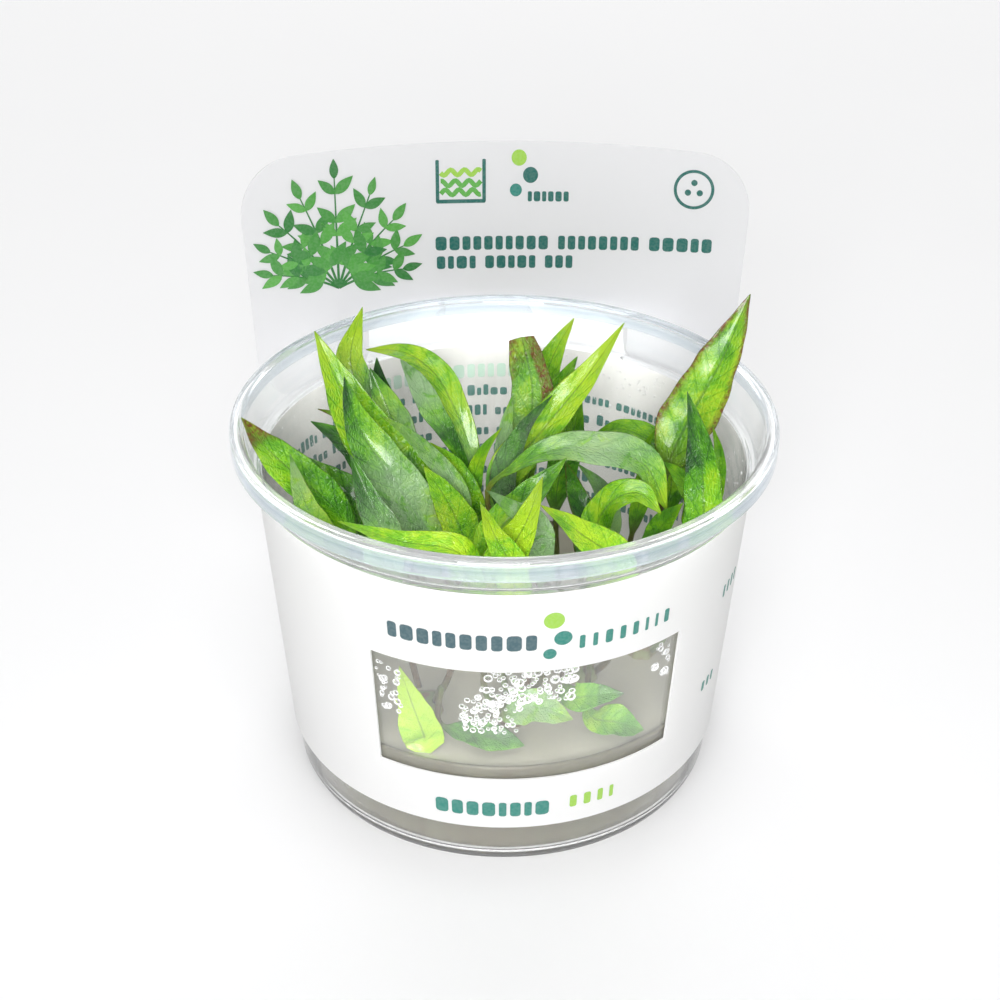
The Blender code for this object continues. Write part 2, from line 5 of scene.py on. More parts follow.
import bmesh
import bpy
import numpy as np
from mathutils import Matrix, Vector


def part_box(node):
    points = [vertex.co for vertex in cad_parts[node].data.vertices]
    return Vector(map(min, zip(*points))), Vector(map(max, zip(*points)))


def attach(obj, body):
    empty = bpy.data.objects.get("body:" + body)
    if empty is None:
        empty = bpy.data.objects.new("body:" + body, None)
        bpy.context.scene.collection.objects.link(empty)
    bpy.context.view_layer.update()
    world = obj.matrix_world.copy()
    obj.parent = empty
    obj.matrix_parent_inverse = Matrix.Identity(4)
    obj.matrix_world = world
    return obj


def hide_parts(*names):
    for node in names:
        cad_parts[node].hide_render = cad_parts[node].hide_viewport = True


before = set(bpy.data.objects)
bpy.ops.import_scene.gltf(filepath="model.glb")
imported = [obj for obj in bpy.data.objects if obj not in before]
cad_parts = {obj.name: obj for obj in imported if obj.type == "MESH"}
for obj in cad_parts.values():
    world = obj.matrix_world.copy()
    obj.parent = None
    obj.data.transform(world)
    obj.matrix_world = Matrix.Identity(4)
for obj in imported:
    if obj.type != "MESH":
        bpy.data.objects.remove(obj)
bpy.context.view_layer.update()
mm = 0.001
draw = np.random.default_rng(11)
print("frame loaded:", len(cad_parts), "nodes")


def cornersOf(node):
    low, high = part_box(node)
    return np.array(low) / mm, np.array(high) / mm


cupLow, cupHigh = cornersOf("cup")
gelLow, gelHigh = cornersOf("gel")
flagHigh = cornersOf("label")[1]


# Meshes

def unit(v):
    return v / np.linalg.norm(v, axis=-1, keepdims=True)


def ease(low, high, x):
    # 0 below low, 1 above high, a smooth step between
    u = np.clip((x - low) / (high - low), 0.0, 1.0)
    return u * u * (3.0 - 2.0 * u)


def gridFaces(rows, columns, wrap=False, flip=False):
    # a quad for each cell of a grid of points; wrap joins the last column to the first
    i, j = np.meshgrid(np.arange(rows - 1), np.arange(columns if wrap else columns - 1), indexing="ij")
    k = (j + 1) % columns
    quads = np.stack([i * columns + j, i * columns + k, (i + 1) * columns + k, (i + 1) * columns + j], -1)
    quads = quads.reshape(-1, 4)
    return quads[:, ::-1] if flip else quads


def addPiece(name, points, faces, materials, uv=None, values=None, colours=None, picks=None, weld=0.0,
             sharp=None):
    # faces is a list of arrays, one for each number of corners; values and colours are given for each
    # point, and picks says which of the materials each face has
    mesh = bpy.data.meshes.new(name)
    points = np.asarray(points, float).reshape(-1, 3) * mm
    corners = np.concatenate([f.ravel() for f in faces])
    sizes = np.concatenate([np.full(len(f), f.shape[1]) for f in faces])
    mesh.vertices.add(len(points))
    mesh.vertices.foreach_set("co", points.ravel())
    mesh.loops.add(len(corners))
    mesh.loops.foreach_set("vertex_index", corners)
    mesh.polygons.add(len(sizes))
    mesh.polygons.foreach_set("loop_start", np.concatenate([[0], np.cumsum(sizes)[:-1]]))
    mesh.update(calc_edges=True)
    for material in materials:
        mesh.materials.append(material)
    if picks is not None:
        mesh.polygons.foreach_set("material_index", picks)
    if uv is not None:
        layer = mesh.uv_layers.new(name="surface")
        layer.data.foreach_set("uv", np.asarray(uv, float).reshape(-1, 2)[corners].ravel())
    for key, value in (values or {}).items():
        layer = mesh.attributes.new(key, "FLOAT", "POINT")
        layer.data.foreach_set("value", np.asarray(value, float).ravel())
    for key, value in (colours or {}).items():
        rgba = np.concatenate([np.asarray(value, float).reshape(-1, 3), np.ones((len(points), 1))], 1)
        layer = mesh.attributes.new(key, "FLOAT_COLOR", "POINT")
        layer.data.foreach_set("color", rgba.ravel())
    if weld:
        shape = bmesh.new()
        shape.from_mesh(mesh)
        bmesh.ops.remove_doubles(shape, verts=shape.verts, dist=weld * mm)
        shape.to_mesh(mesh)
        shape.free()
    mesh.shade_smooth()
    if sharp:
        mesh.set_sharp_from_angle(angle=math.radians(sharp))
    thing = bpy.data.objects.new(name, mesh)
    bpy.context.scene.collection.objects.link(thing)
    return thing


def settle(thing, slot, *nodes):
    # every piece rides on the one body; nodes are the solids that it stands for
    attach(thing, "root")
    if nodes:
        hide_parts(*nodes)
    return thing


def thicken(thing, thickness, even=True, sharp=40, inside=0):
    # a wall about the surface, made real so that its edges can be kept sharp; inside is how many materials
    # further on the side that the faces look away from takes its own
    shell = thing.modifiers.new("sheet", "SOLIDIFY")
    shell.material_offset = inside
    shell.thickness = thickness * mm
    shell.offset = 0.0
    shell.use_even_offset = even
    solid = bpy.data.meshes.new_from_object(thing.evaluated_get(bpy.context.evaluated_depsgraph_get()))
    thing.modifiers.clear()
    thing.data = solid
    solid.name = thing.name
    solid.set_sharp_from_angle(angle=math.radians(sharp))


def joined(parts):
    # several (points, faces) as one, with the face numbers moved on
    starts = np.cumsum([0] + [len(points) for points, _ in parts[:-1]])
    faces = [quads + start for (_, quads), start in zip(parts, starts)]
    return np.concatenate([points for points, _ in parts]), np.concatenate(faces)


def roundCorners(corners, reach, steps=5):
    # each corner gives way to a quadratic curve that leaves and joins its two sides at reach from it
    corners = np.array(corners, float)
    here = corners[1:-1]
    back, ahead = corners[:-2] - here, corners[2:] - here
    spare = 0.45 * np.minimum(np.linalg.norm(back, axis=1), np.linalg.norm(ahead, axis=1))[:, None]
    cut = np.minimum(spare, np.broadcast_to(np.asarray(reach, float), len(here))[:, None])
    a, b = here + unit(back) * cut, here + unit(ahead) * cut
    t = np.linspace(0.0, 1.0, steps)[None, :, None]
    curve = (1 - t) ** 2 * a[:, None] + 2 * t * (1 - t) * here[:, None] + t ** 2 * b[:, None]
    return np.vstack([corners[:1], curve.reshape(-1, 2), corners[-1:]])


def turned(name, profile, steps, materials, wobble=None, zone=None):
    # a profile of (radius, height) that starts and ends on the axis, carried round it: x = r cos a,
    # y = r sin a; zone picks a material from the middle of each step of the profile
    r, z = profile[1:-1].T
    a = np.linspace(0.0, math.tau, steps, endpoint=False)
    rr, aa = np.meshgrid(r, a, indexing="ij")
    zz = np.repeat(z[:, None], steps, 1)
    if wobble is not None:
        zz = zz + wobble(rr, aa, zz)
    ring = np.stack([rr * np.cos(aa), rr * np.sin(aa), zz], -1).reshape(-1, 3)
    points = np.vstack([ring, [[0, 0, profile[0, 1]], [0, 0, profile[-1, 1]]]])
    j = np.arange(steps)
    k = (j + 1) % steps
    last = (len(r) - 1) * steps
    top = np.stack([np.full(steps, len(ring)), j, k], -1)
    foot = np.stack([np.full(steps, len(ring) + 1), last + k, last + j], -1)
    quads = gridFaces(len(r), steps, wrap=True, flip=True)
    picks = None
    if zone is not None:
        rows = zone(0.5 * (r[1:] + r[:-1]), 0.5 * (z[1:] + z[:-1]))
        picks = np.concatenate([np.repeat(rows, steps), np.zeros(2 * steps, int)])
    return addPiece(name, points, [quads, top, foot], materials, picks=picks)


# Materials

def put(tree, kind, wires=(), **settings):
    # adds a node; wires are pairs of input and value, or of input and the output that feeds it
    node = tree.nodes.new("ShaderNode" + kind)
    for key, value in settings.items():
        setattr(node, key, value)
    for socket, value in wires:
        if isinstance(value, bpy.types.NodeSocket):
            tree.links.new(value, node.inputs[socket])
        else:
            node.inputs[socket].default_value = value
    return node


def maths(tree, operation, *values, clamp=False):
    wires = list(enumerate(values))
    return put(tree, "Math", wires, operation=operation, use_clamp=clamp).outputs[0]


def blend(tree, share, a, b):
    # colour a, with b laid over it by share; a plain colour is given as red, green and blue
    a, b = [(*colour, 1.0) if isinstance(colour, tuple) else colour for colour in (a, b)]
    return put(tree, "Mix", [(0, share), (6, a), (7, b)], data_type="RGBA").outputs[2]


def spread(tree, value, low, high, toLow=0.0, toHigh=1.0):
    # a smooth step from one value to the other while the input goes from low to high
    wires = [("Value", value), ("From Min", low), ("From Max", high), ("To Min", toLow), ("To Max", toHigh)]
    return put(tree, "MapRange", wires, interpolation_type="SMOOTHSTEP").outputs["Result"]


def noise(tree, place, scale, detail=3.0, roughness=0.5, warp=0.0):
    wires = [("Vector", place), ("Scale", scale), ("Detail", detail), ("Roughness", roughness),
             ("Distortion", warp)]
    return put(tree, "TexNoise", wires).outputs["Fac"]


def newGroup(name, takes, gives):
    # takes and gives: pairs of socket name and kind
    tree = bpy.data.node_groups.new(name, "ShaderNodeTree")
    for label, kind, *start in takes:
        socket = tree.interface.new_socket(label, in_out="INPUT", socket_type="NodeSocket" + kind)
        if start:
            socket.default_value = start[0]
    for label, kind in gives:
        tree.interface.new_socket(label, in_out="OUTPUT", socket_type="NodeSocket" + kind)
    return tree, tree.nodes.new("NodeGroupInput").outputs, tree.nodes.new("NodeGroupOutput").inputs


def use(tree, group, *wires):
    return put(tree, "Group", wires, node_tree=group).outputs


def newMaterial(name, **constants):
    # a Principled material; constants are its own sockets, spelt with _ for a space
    material = bpy.data.materials.new(name)
    material.use_nodes = True
    tree = material.node_tree
    shader = tree.nodes["Principled BSDF"]
    for key, value in constants.items():
        shader.inputs[key.replace("_", " ")].default_value = value
    return material, tree, shader.inputs


def bumpFrom(tree, height, strength, distance):
    wires = [("Height", height), ("Strength", strength), ("Distance", distance * mm)]
    return put(tree, "Bump", wires).outputs["Normal"]


def objectPlace(tree):
    return put(tree, "TexCoord").outputs["Object"]


def attribute(tree, name, output="Fac"):
    return put(tree, "Attribute", attribute_name=name).outputs[output]


def partsOf(tree, vector):
    return put(tree, "SeparateXYZ", [(0, vector)]).outputs


def stretched(tree, vector, *scale):
    return put(tree, "Mapping", [("Vector", vector), ("Scale", scale)]).outputs[0]


def axisRadius(tree, parts):
    # the distance from the cup's axis
    flat = put(tree, "CombineXYZ", [("X", parts["X"]), ("Y", parts["Y"])]).outputs[0]
    return put(tree, "VectorMath", [(0, flat)], operation="LENGTH").outputs["Value"]


def makeFinishGrain():
    # fine surface noise at two scales: a height for bump, and a roughness about the value that it is given
    tree, given, out = newGroup("finishGrain", (("Place", "Vector"), ("Scale", "Float", 900.0),
                                                ("Roughness", "Float", 0.3), ("Play", "Float", 0.1)),
                                (("Height", "Float"), ("Roughness", "Float")))
    fine = noise(tree, given["Place"], given["Scale"], 4.0, 0.6)
    slow = noise(tree, given["Place"], maths(tree, "MULTIPLY", given["Scale"], 0.06), 2.0)
    away = maths(tree, "SUBTRACT", slow, 0.5)
    tree.links.new(maths(tree, "MULTIPLY_ADD", slow, 0.6, fine), out["Height"])
    tree.links.new(maths(tree, "MULTIPLY_ADD", away, given["Play"], given["Roughness"], clamp=True),
                   out["Roughness"])
    return tree


# Side veins, shared by the leaves' material and their shape: how many on each side, and how far forwards
# they lean, as a share of the blade's length and the power of the distance from the midrib
veining = {"count": 9.0, "lean": 0.17, "power": 0.8}


def makeLeafVeins():
    # the surface runs 0 to 1 from margin to margin and 0 to 1 from base to tip; side veins leave the midrib
    # forwards, so their phase is the place along the blade less a share of the distance from the midrib
    tree, given, out = newGroup("leafVeins", (("Surface", "Vector"), ("Place", "Vector"),
                                              ("Count", "Float", veining["count"])),
                                (("Midrib", "Float"), ("Side veins", "Float"), ("Net", "Float"),
                                 ("Margin", "Float")))
    parts = partsOf(tree, given["Surface"])
    off = maths(tree, "ABSOLUTE", maths(tree, "MULTIPLY_ADD", parts["X"], 2.0, -1.0))
    sway = maths(tree, "MULTIPLY_ADD", noise(tree, given["Place"], 160.0, 2.0), 0.12, -0.06)
    bent = maths(tree, "POWER", maths(tree, "ADD", off, sway), veining["power"])
    phase = maths(tree, "SUBTRACT", parts["Y"], maths(tree, "MULTIPLY", bent, veining["lean"]))
    turns = maths(tree, "FRACT", maths(tree, "MULTIPLY", phase, given["Count"]))
    veins = spread(tree, maths(tree, "ABSOLUTE", maths(tree, "SUBTRACT", turns, 0.5)), 0.0, 0.11, 1.0, 0.0)
    wires = [("Vector", stretched(tree, given["Surface"], 11.0, 38.0, 1.0)), ("Scale", 1.0)]
    cells = put(tree, "TexVoronoi", wires, feature="DISTANCE_TO_EDGE").outputs["Distance"]
    tree.links.new(spread(tree, off, 0.01, 0.09, 1.0, 0.0), out["Midrib"])
    tree.links.new(maths(tree, "MULTIPLY", veins, spread(tree, off, 0.05, 0.25)), out["Side veins"])
    tree.links.new(spread(tree, cells, 0.0, 0.24, 1.0, 0.0), out["Net"])
    tree.links.new(maths(tree, "ADD", off, maths(tree, "MULTIPLY", sway, 1.6)), out["Margin"])
    return tree


grainGroup = makeFinishGrain()
veinGroup = makeLeafVeins()


def grainOn(tree, shader, scale, roughness, play, *bump):
    # the shared grain on a material's roughness, and with bump (strength, distance) on its normal too
    grain = use(tree, grainGroup, ("Place", objectPlace(tree)), ("Scale", scale), ("Roughness", roughness),
                ("Play", play))
    tree.links.new(grain["Roughness"], shader["Roughness"])
    if bump:
        tree.links.new(bumpFrom(tree, grain["Height"], *bump), shader["Normal"])


def makePlastic(name, dark, light, clear, roughness):
    # clear is the share that passes light, the rest is a milky haze; the tint changes in fine rings
    material, tree, shader = newMaterial(name, IOR=1.49, Transmission_Weight=clear)
    parts = partsOf(tree, objectPlace(tree))
    rings = put(tree, "CombineXYZ", [("X", axisRadius(tree, parts)), ("Y", parts["Z"])]).outputs[0]
    line = spread(tree, noise(tree, rings, 1100.0, 2.0), 0.35, 0.65)
    tree.links.new(blend(tree, line, dark, light), shader["Base Color"])
    grainOn(tree, shader, 240.0, roughness, 0.06, 0.12, 0.05)
    return material


def makeJelly():
    # cloudy; pale on top and darker on the side, painted light and painted shade on one gel, and streaked
    # on the side, where roots lie behind the wall
    material, tree, shader = newMaterial("jelly", IOR=1.34, Transmission_Weight=0.40)
    place = objectPlace(tree)
    parts = partsOf(tree, place)
    cloud = noise(tree, place, 70.0, 3.0, 0.6, 0.4)
    streak = spread(tree, noise(tree, stretched(tree, place, 1.0, 1.0, 0.12), 260.0, 3.0, 0.6), 0.35, 0.7)
    litTopShare = maths(tree, "MULTIPLY", spread(tree, parts["Z"], 0.0200, 0.0206),
                  spread(tree, axisRadius(tree, parts), 0.0395, 0.0412, 1.0, 0.0))
    # the side's dark colours are painted shade and the top's pale ones painted light
    side = blend(tree, cloud, (0.25, 0.24, 0.15), (0.15, 0.145, 0.08))
    side = blend(tree, maths(tree, "MULTIPLY", streak, 0.5), side, (0.13, 0.085, 0.04))
    top = blend(tree, cloud, (0.86, 0.82, 0.68), (0.68, 0.66, 0.50))
    tree.links.new(blend(tree, litTopShare, side, top), shader["Base Color"])
    grainOn(tree, shader, 160.0, 0.16, 0.2, 0.35, 0.4)
    murk = put(tree, "VolumeAbsorption", [("Color", (0.72, 0.68, 0.50, 1.0)), ("Density", 60.0)])
    tree.links.new(murk.outputs[0], tree.nodes["Material Output"].inputs["Volume"])
    return material


def makeSheetWhite(name, dark, light, thin):
    # thin is the share of the light that the sheet lets through
    material, tree, shader = newMaterial(name, IOR=1.5, Coat_Weight=0.15, Coat_Roughness=0.2)
    cloud = noise(tree, objectPlace(tree), 25.0, 2.0)
    tree.links.new(blend(tree, cloud, dark, light), shader["Base Color"])
    grainOn(tree, shader, 1500.0, 0.38, 0.12, 0.06, 0.05)
    through = put(tree, "BsdfTranslucent", [("Color", (*light, 1.0))])
    both = put(tree, "MixShader", [(0, thin), (1, tree.nodes["Principled BSDF"].outputs[0]),
                                   (2, through.outputs[0])])
    tree.links.new(both.outputs[0], tree.nodes["Material Output"].inputs["Surface"])
    return material


def makeSleeveInk():
    material, tree, shader = newMaterial("sleeveInk", IOR=1.5, Coat_Weight=0.1, Coat_Roughness=0.25)
    speck = spread(tree, noise(tree, objectPlace(tree), 1900.0, 2.0), 0.35, 0.65)
    speck = maths(tree, "MULTIPLY", speck, 0.05)
    tint = blend(tree, speck, attribute(tree, "ink", "Color"), (0.85, 0.88, 0.85))
    tree.links.new(tint, shader["Base Color"])
    grainOn(tree, shader, 2600.0, 0.42, 0.1)
    return material


def makeLeafBlade():
    # a ramp of greens by depth, its dark end partly painted shade, then the midrib, partly painted shade in
    # its groove, the painted sheen, rust, a dark rim, the paler underside and the stalk
    material, tree, shader = newMaterial("leafBlade", IOR=1.42, Coat_Roughness=0.10, Coat_IOR=1.45)
    place = objectPlace(tree)
    surface = put(tree, "UVMap", uv_map="surface").outputs["UV"]
    veins = use(tree, veinGroup, ("Surface", surface), ("Place", place), ("Count", veining["count"]))
    tone, rust, paintedSheen = attribute(tree, "tone"), attribute(tree, "rust"), attribute(tree, "paintedSheen")
    under, stalk = attribute(tree, "under"), attribute(tree, "stalk")
    slow = noise(tree, place, 110.0, 3.0, 0.6, 0.8)
    fine = noise(tree, place, 900.0, 3.0, 0.6)
    fibre = noise(tree, stretched(tree, surface, 34.0, 7.0, 1.0), 1.0, 3.0)
    depth = maths(tree, "MULTIPLY_ADD", spread(tree, slow, 0.3, 0.7), 0.5, maths(tree, "ADD", tone, -0.25))
    depth = maths(tree, "ADD", depth, maths(tree, "MULTIPLY_ADD", fine, 0.24, -0.12))
    depth = maths(tree, "ADD", depth, maths(tree, "MULTIPLY_ADD", fibre, 0.44, -0.22))
    # the net's cell walls a little paler: painted highlight on the quilting
    depth = maths(tree, "MULTIPLY_ADD", veins["Net"], -0.10, depth)
    depth = maths(tree, "MULTIPLY_ADD", veins["Side veins"], 0.12, depth, clamp=True)
    # the ramp's darkest greens, reached by high tone, are partly the leaves' own green and partly painted
    # shade
    ramp = put(tree, "ValToRGB", [("Fac", depth)])
    stops = ramp.color_ramp.elements
    stops[0].color, stops[1].color = (0.42, 0.66, 0.02, 1.0), (0.012, 0.060, 0.016, 1.0)
    for spot, shade in ((0.28, (0.21, 0.52, 0.012)), (0.52, (0.085, 0.32, 0.010)),
                        (0.76, (0.032, 0.15, 0.012))):
        stops.new(spot).color = (*shade, 1.0)
    colour = ramp.outputs["Color"]
    # the midrib darker: partly its own colour, partly painted shade in its groove
    colour = blend(tree, maths(tree, "MULTIPLY", veins["Midrib"], 0.5), colour, (0.03, 0.11, 0.012))
    # painted sheen: a pale grey-green patch laid over the green
    patchy = spread(tree, noise(tree, place, 230.0, 4.0, 0.65, 1.0), 0.38, 0.5)
    sheenPatch = maths(tree, "MULTIPLY", paintedSheen, maths(tree, "MULTIPLY_ADD", patchy, 0.6, 0.3))
    colour = blend(tree, sheenPatch, colour, (0.34, 0.50, 0.28))
    speckle = spread(tree, noise(tree, place, 1300.0, 2.0, 0.7), 0.42, 0.62)
    reach = maths(tree, "ADD", rust, maths(tree, "MULTIPLY_ADD", slow, 0.5, -0.3))
    browned = maths(tree, "MULTIPLY", spread(tree, reach, 0.15, 0.7),
                    maths(tree, "MULTIPLY_ADD", speckle, 0.5, 0.5))
    colour = blend(tree, browned, colour, (0.17, 0.06, 0.014))
    rimmed = maths(tree, "MULTIPLY", spread(tree, veins["Margin"], 0.94, 1.02), 0.6)
    colour = blend(tree, rimmed, colour, (0.07, 0.06, 0.010))
    colour = blend(tree, maths(tree, "MULTIPLY", under, 0.45), colour, (0.19, 0.35, 0.09))
    reddened = spread(tree, noise(tree, place, 90.0, 2.0), 0.35, 0.65)
    colour = blend(tree, stalk, colour, blend(tree, reddened, (0.11, 0.20, 0.025), (0.13, 0.075, 0.02)))
    tree.links.new(colour, shader["Base Color"])
    wet = spread(tree, noise(tree, place, 170.0, 2.0, 0.5, 0.6), 0.4, 0.62)
    tree.links.new(maths(tree, "MULTIPLY_ADD", wet, -0.12, 0.38), shader["Roughness"])
    tree.links.new(maths(tree, "MULTIPLY_ADD", wet, 0.65, 0.2), shader["Coat Weight"])
    height = maths(tree, "MULTIPLY_ADD", veins["Side veins"], -0.8, maths(tree, "MULTIPLY", fine, 0.3))
    height = maths(tree, "MULTIPLY_ADD", veins["Net"], -0.7, height)
    height = maths(tree, "MULTIPLY_ADD", slow, 0.9, height)
    tree.links.new(bumpFrom(tree, height, 0.7, 0.2), shader["Normal"])
    return material


def makeCrownTissue():
    # pale in the gel and green above it, with brown patches
    material, tree, shader = newMaterial("crownTissue", IOR=1.42)
    place = objectPlace(tree)
    rise = spread(tree, partsOf(tree, place)["Z"], 0.018, 0.026)
    tint = blend(tree, rise, (0.38, 0.32, 0.18), (0.13, 0.20, 0.04))
    patch = spread(tree, noise(tree, place, 400.0, 3.0), 0.45, 0.6)
    tree.links.new(blend(tree, patch, tint, (0.16, 0.09, 0.03)), shader["Base Color"])
    grainOn(tree, shader, 700.0, 0.45, 0.2, 0.4, 0.2)
    return material


def makeRootTissue():
    material, tree, shader = newMaterial("rootTissue", IOR=1.4)
    patch = spread(tree, noise(tree, objectPlace(tree), 150.0, 3.0), 0.4, 0.62)
    tree.links.new(blend(tree, patch, (0.55, 0.47, 0.32), (0.24, 0.16, 0.08)), shader["Base Color"])
    grainOn(tree, shader, 900.0, 0.5, 0.15)
    return material


def makeWater(name, clear, roughness):
    return newMaterial(name, IOR=1.33, Transmission_Weight=clear, Roughness=roughness,
                       Base_Color=(1.0, 1.0, 1.0, 1.0))[0]


def makeFloorPaper():
    material, tree, shader = newMaterial("floorPaper", IOR=1.45)
    cloud = noise(tree, objectPlace(tree), 3.0, 2.0)
    tree.links.new(blend(tree, cloud, (0.90, 0.90, 0.905), (0.93, 0.93, 0.935)), shader["Base Color"])
    grainOn(tree, shader, 300.0, 0.55, 0.1)
    return material


wallPlastic = makePlastic("wallPlastic", (0.99, 1.0, 1.0), (1.0, 1.0, 1.0), 0.94, 0.03)
seatPlastic = makePlastic("seatPlastic", (0.93, 0.955, 0.97), (1.0, 1.0, 1.0), 0.86, 0.05)
# the flange's blue-grey tint and darker rings are painted reflection of what the rim bends and mirrors
rimPlastic = makePlastic("rimPlastic", (0.58, 0.68, 0.76), (0.90, 0.935, 0.965), 0.82, 0.06)
jelly = makeJelly()
sheetWhite = makeSheetWhite("sleeveSheet", (0.96, 0.96, 0.965), (0.985, 0.985, 0.985), 0.3)
# a brighter, warmer copy of the sheet's white: painted light on the sleeve's inner side
sheetInsideLit = makeSheetWhite("sleeveSheetInsideLit", (0.98, 0.97, 0.92), (0.99, 0.985, 0.95), 0.3)
# a greyer copy of the sheet's white: painted shade on the free-standing flag
sheetFreeShaded = makeSheetWhite("sleeveSheetShaded", (0.82, 0.82, 0.83), (0.85, 0.85, 0.86), 0.4)
sleeveInk = makeSleeveInk()
leafBlade = makeLeafBlade()
crownTissue = makeCrownTissue()
rootTissue = makeRootTissue()
water = makeWater("waterDrop", 1.0, 0.0)
# a white, nearly opaque water: painted highlight for the drops' bright edges
paintedDropGlint = makeWater("paintedDropGlint", 0.1, 0.2)
floorPaper = makeFloorPaper()
print("materials made:", len(bpy.data.materials))


# The cup: a thin turned wall, a ledge for the lid, and a flange turned down at its edge

cup = {
    "steps": 256,
    "gap": 0.3,                   # left between touching pieces
    "floor": 1.0,
    "wall": 0.6,
    "baseRadius": 40.2,
    "wallFoot": (40.6, 1.6),      # radius and height where the straight outer wall starts
    "wallHead": (45.2, 63.0),
    "ledgeRise": 1.3,
    "seatStep": 1.2,
    "seatTilt": 0.2,
    "rimInner": 47.6,
    "rimLean": (0.1, 0.4),        # inwards at its foot and outwards at its top
    "rimSoft": 0.7,               # how far below the top the rim starts to lean
    "flangeBottom": 68.2,
    "flangeWall": 0.8,
    "flangeRoof": 1.2,
    "flangeSoft": (0.35, 0.6),    # across and down where its top turns over
    "footRound": 1.4,
    "footRing": (0.3, 3.0, 4.2),  # in from the base radius: the outer edge, and where the hollow rises
    "hollow": 0.35,
    "corner": 0.45,               # how far the profile's corners are rounded
    "skirtPlastic": (0.15, 0.5),  # how far inside its wall and below the top the flange's plastic starts
}


def wallRadius(z):
    # outer radius of the straight cup wall at a height
    (r0, z0), (r1, z1) = cup["wallFoot"], cup["wallHead"]
    return r0 + (r1 - r0) * (z - z0) / (z1 - z0)


def innerRadius(z):
    return wallRadius(z) - cup["wall"]


def makeCup():
    top, flange = cupHigh[2], cupHigh[0]
    footR, footZ = cup["wallFoot"]
    headR, headZ = cup["wallHead"]
    floor, wall, lip, rim = cup["floor"], cup["wall"], cup["flangeWall"], cup["rimInner"]
    (leanIn, leanOut), (softX, softZ) = cup["rimLean"], cup["flangeSoft"]
    skirtIn, skirtDown = cup["skirtPlastic"]
    outerEdge, ringEdge, hollowEdge = [cup["baseRadius"] - step for step in cup["footRing"]]
    floorEdge = floor + cup["footRound"]
    ledgeZ = headZ + cup["ledgeRise"]
    ledgeR = innerRadius(ledgeZ)
    seatR = ledgeR + cup["seatStep"]
    skirt, roof = cup["flangeBottom"], top - cup["flangeRoof"]
    inside = [(0.0, floor), (footR - wall - cup["footRound"], floor), (innerRadius(floorEdge), floorEdge),
              (ledgeR, ledgeZ), (seatR, ledgeZ + cup["seatTilt"]),
              (rim - leanIn, top - cup["rimSoft"]), (rim + leanOut, top)]
    outside = [(flange - softX, top), (flange, top - softZ), (flange, skirt), (flange - lip, skirt),
               (flange - lip, roof), (rim + lip, roof), (seatR + lip, ledgeZ - 2 * cup["seatTilt"]),
               (headR, headZ), (footR, footZ), (outerEdge, 0.0), (ringEdge, 0.0),
               (hollowEdge, cup["hollow"]), (0.0, cup["hollow"])]
    profile = roundCorners(inside + outside, cup["corner"])

    def zone(r, z):
        # 0 the wall, 1 the ledge and the rim's top, 2 the flange's outer side
        onSkirt = (r > flange - lip - skirtIn) & (z < top - skirtDown)
        return np.where(z < headZ, 0, np.where(onSkirt, 2, 1))
    shell = turned("cupShell", profile, cup["steps"], [wallPlastic, seatPlastic, rimPlastic], zone=zone)
    shell.visible_shadow = False              # clear plastic lets the lamps' light in
    return settle(shell, "clear_plastic", "cup")


makeCup()
print("cup made")


# The gel: level in the middle, drawn up the wall at its edge, with a slight swell

gel = {
    "steps": 192,
    "meniscus": 1.1,
    "meniscusReach": 3.6,         # how far from the wall it starts
    "swell": 0.16,
    "footRound": (1.4, 1.6),      # in from the wall and up from the bottom
}


def makeGel():
    low, top = gelLow[2], gelHigh[2] - gel["meniscus"]
    gap = cup["gap"]
    edge = innerRadius(top) - gap
    footX, footZ = gel["footRound"]
    drawn = np.linspace(0.0, 1.0, 9)
    reach, climb = gel["meniscusReach"], gel["meniscus"]
    rise = [(edge - reach * (1 - u) + 0.08 * u, top + climb * u ** 3) for u in drawn]
    middle = [(r, top) for r in np.linspace(2.0, edge - 5.0, 18)]
    side = [(innerRadius(z) - gap, z) for z in np.linspace(top + 0.2, low + footZ, 10)]
    foot = [(innerRadius(low) - gap - footX, low), (0.0, low)]
    profile = np.array([(0.0, top)] + middle + rise + side + foot)

    def swell(r, a, z):
        slow = np.sin(r * 0.21 + 2.0 * np.sin(a)) * np.cos(3.0 * a + r * 0.11)
        return gel["swell"] * slow * (z > top - 0.1) * ease(edge, edge - 6.0, r) * ease(0.0, 5.0, r)
    return settle(turned("gelDisc", profile, gel["steps"], [jelly], swell), "jelly", "gel")


makeGel()
print("gel made")


# The sleeve: a white sheet, wrapped round the cup with a window, and standing up behind it as a flag

sleeve = {
    "sheet": 0.36,
    "bottom": 9.1,
    "top": 62.9,
    "window": (-31.0, 44.0, 21.0, 46.3),   # from and to in degrees, bottom, top
    "bandStep": 1.5,
    "turn": 2.3,                           # the flag about the cup's axis
    "flagY": 50.55,
    "bow": 320.0,                          # radius that the flag is bowed to
    "foot": 50.0,
    "head": 103.2,
    "crown": 1.8,
    "half": (49.0, 50.6),                  # half widths at the foot and where it is widest
    "widest": 90.0,
    "corner": (11.5, 12.5),                # across and up
    "earCorner": 7.0,
    "crease": 70.0,
    "notchStep": 66.0,
    "tabPart": (0.38, 0.56),               # the tab's share of the flag's width, at the crease and low down
    # the tab's run from the flag's plane (0) to the band (1), by height
    "tabRows": ((70.0, 0.0), (66.4, 0.10), (62.6, 0.42), (58.6, 0.80), (55.0, 1.0), (51.6, 1.0)),
    "tongue": (-10.6, 6.6, 2.0),           # from, to, drop below the crease
}


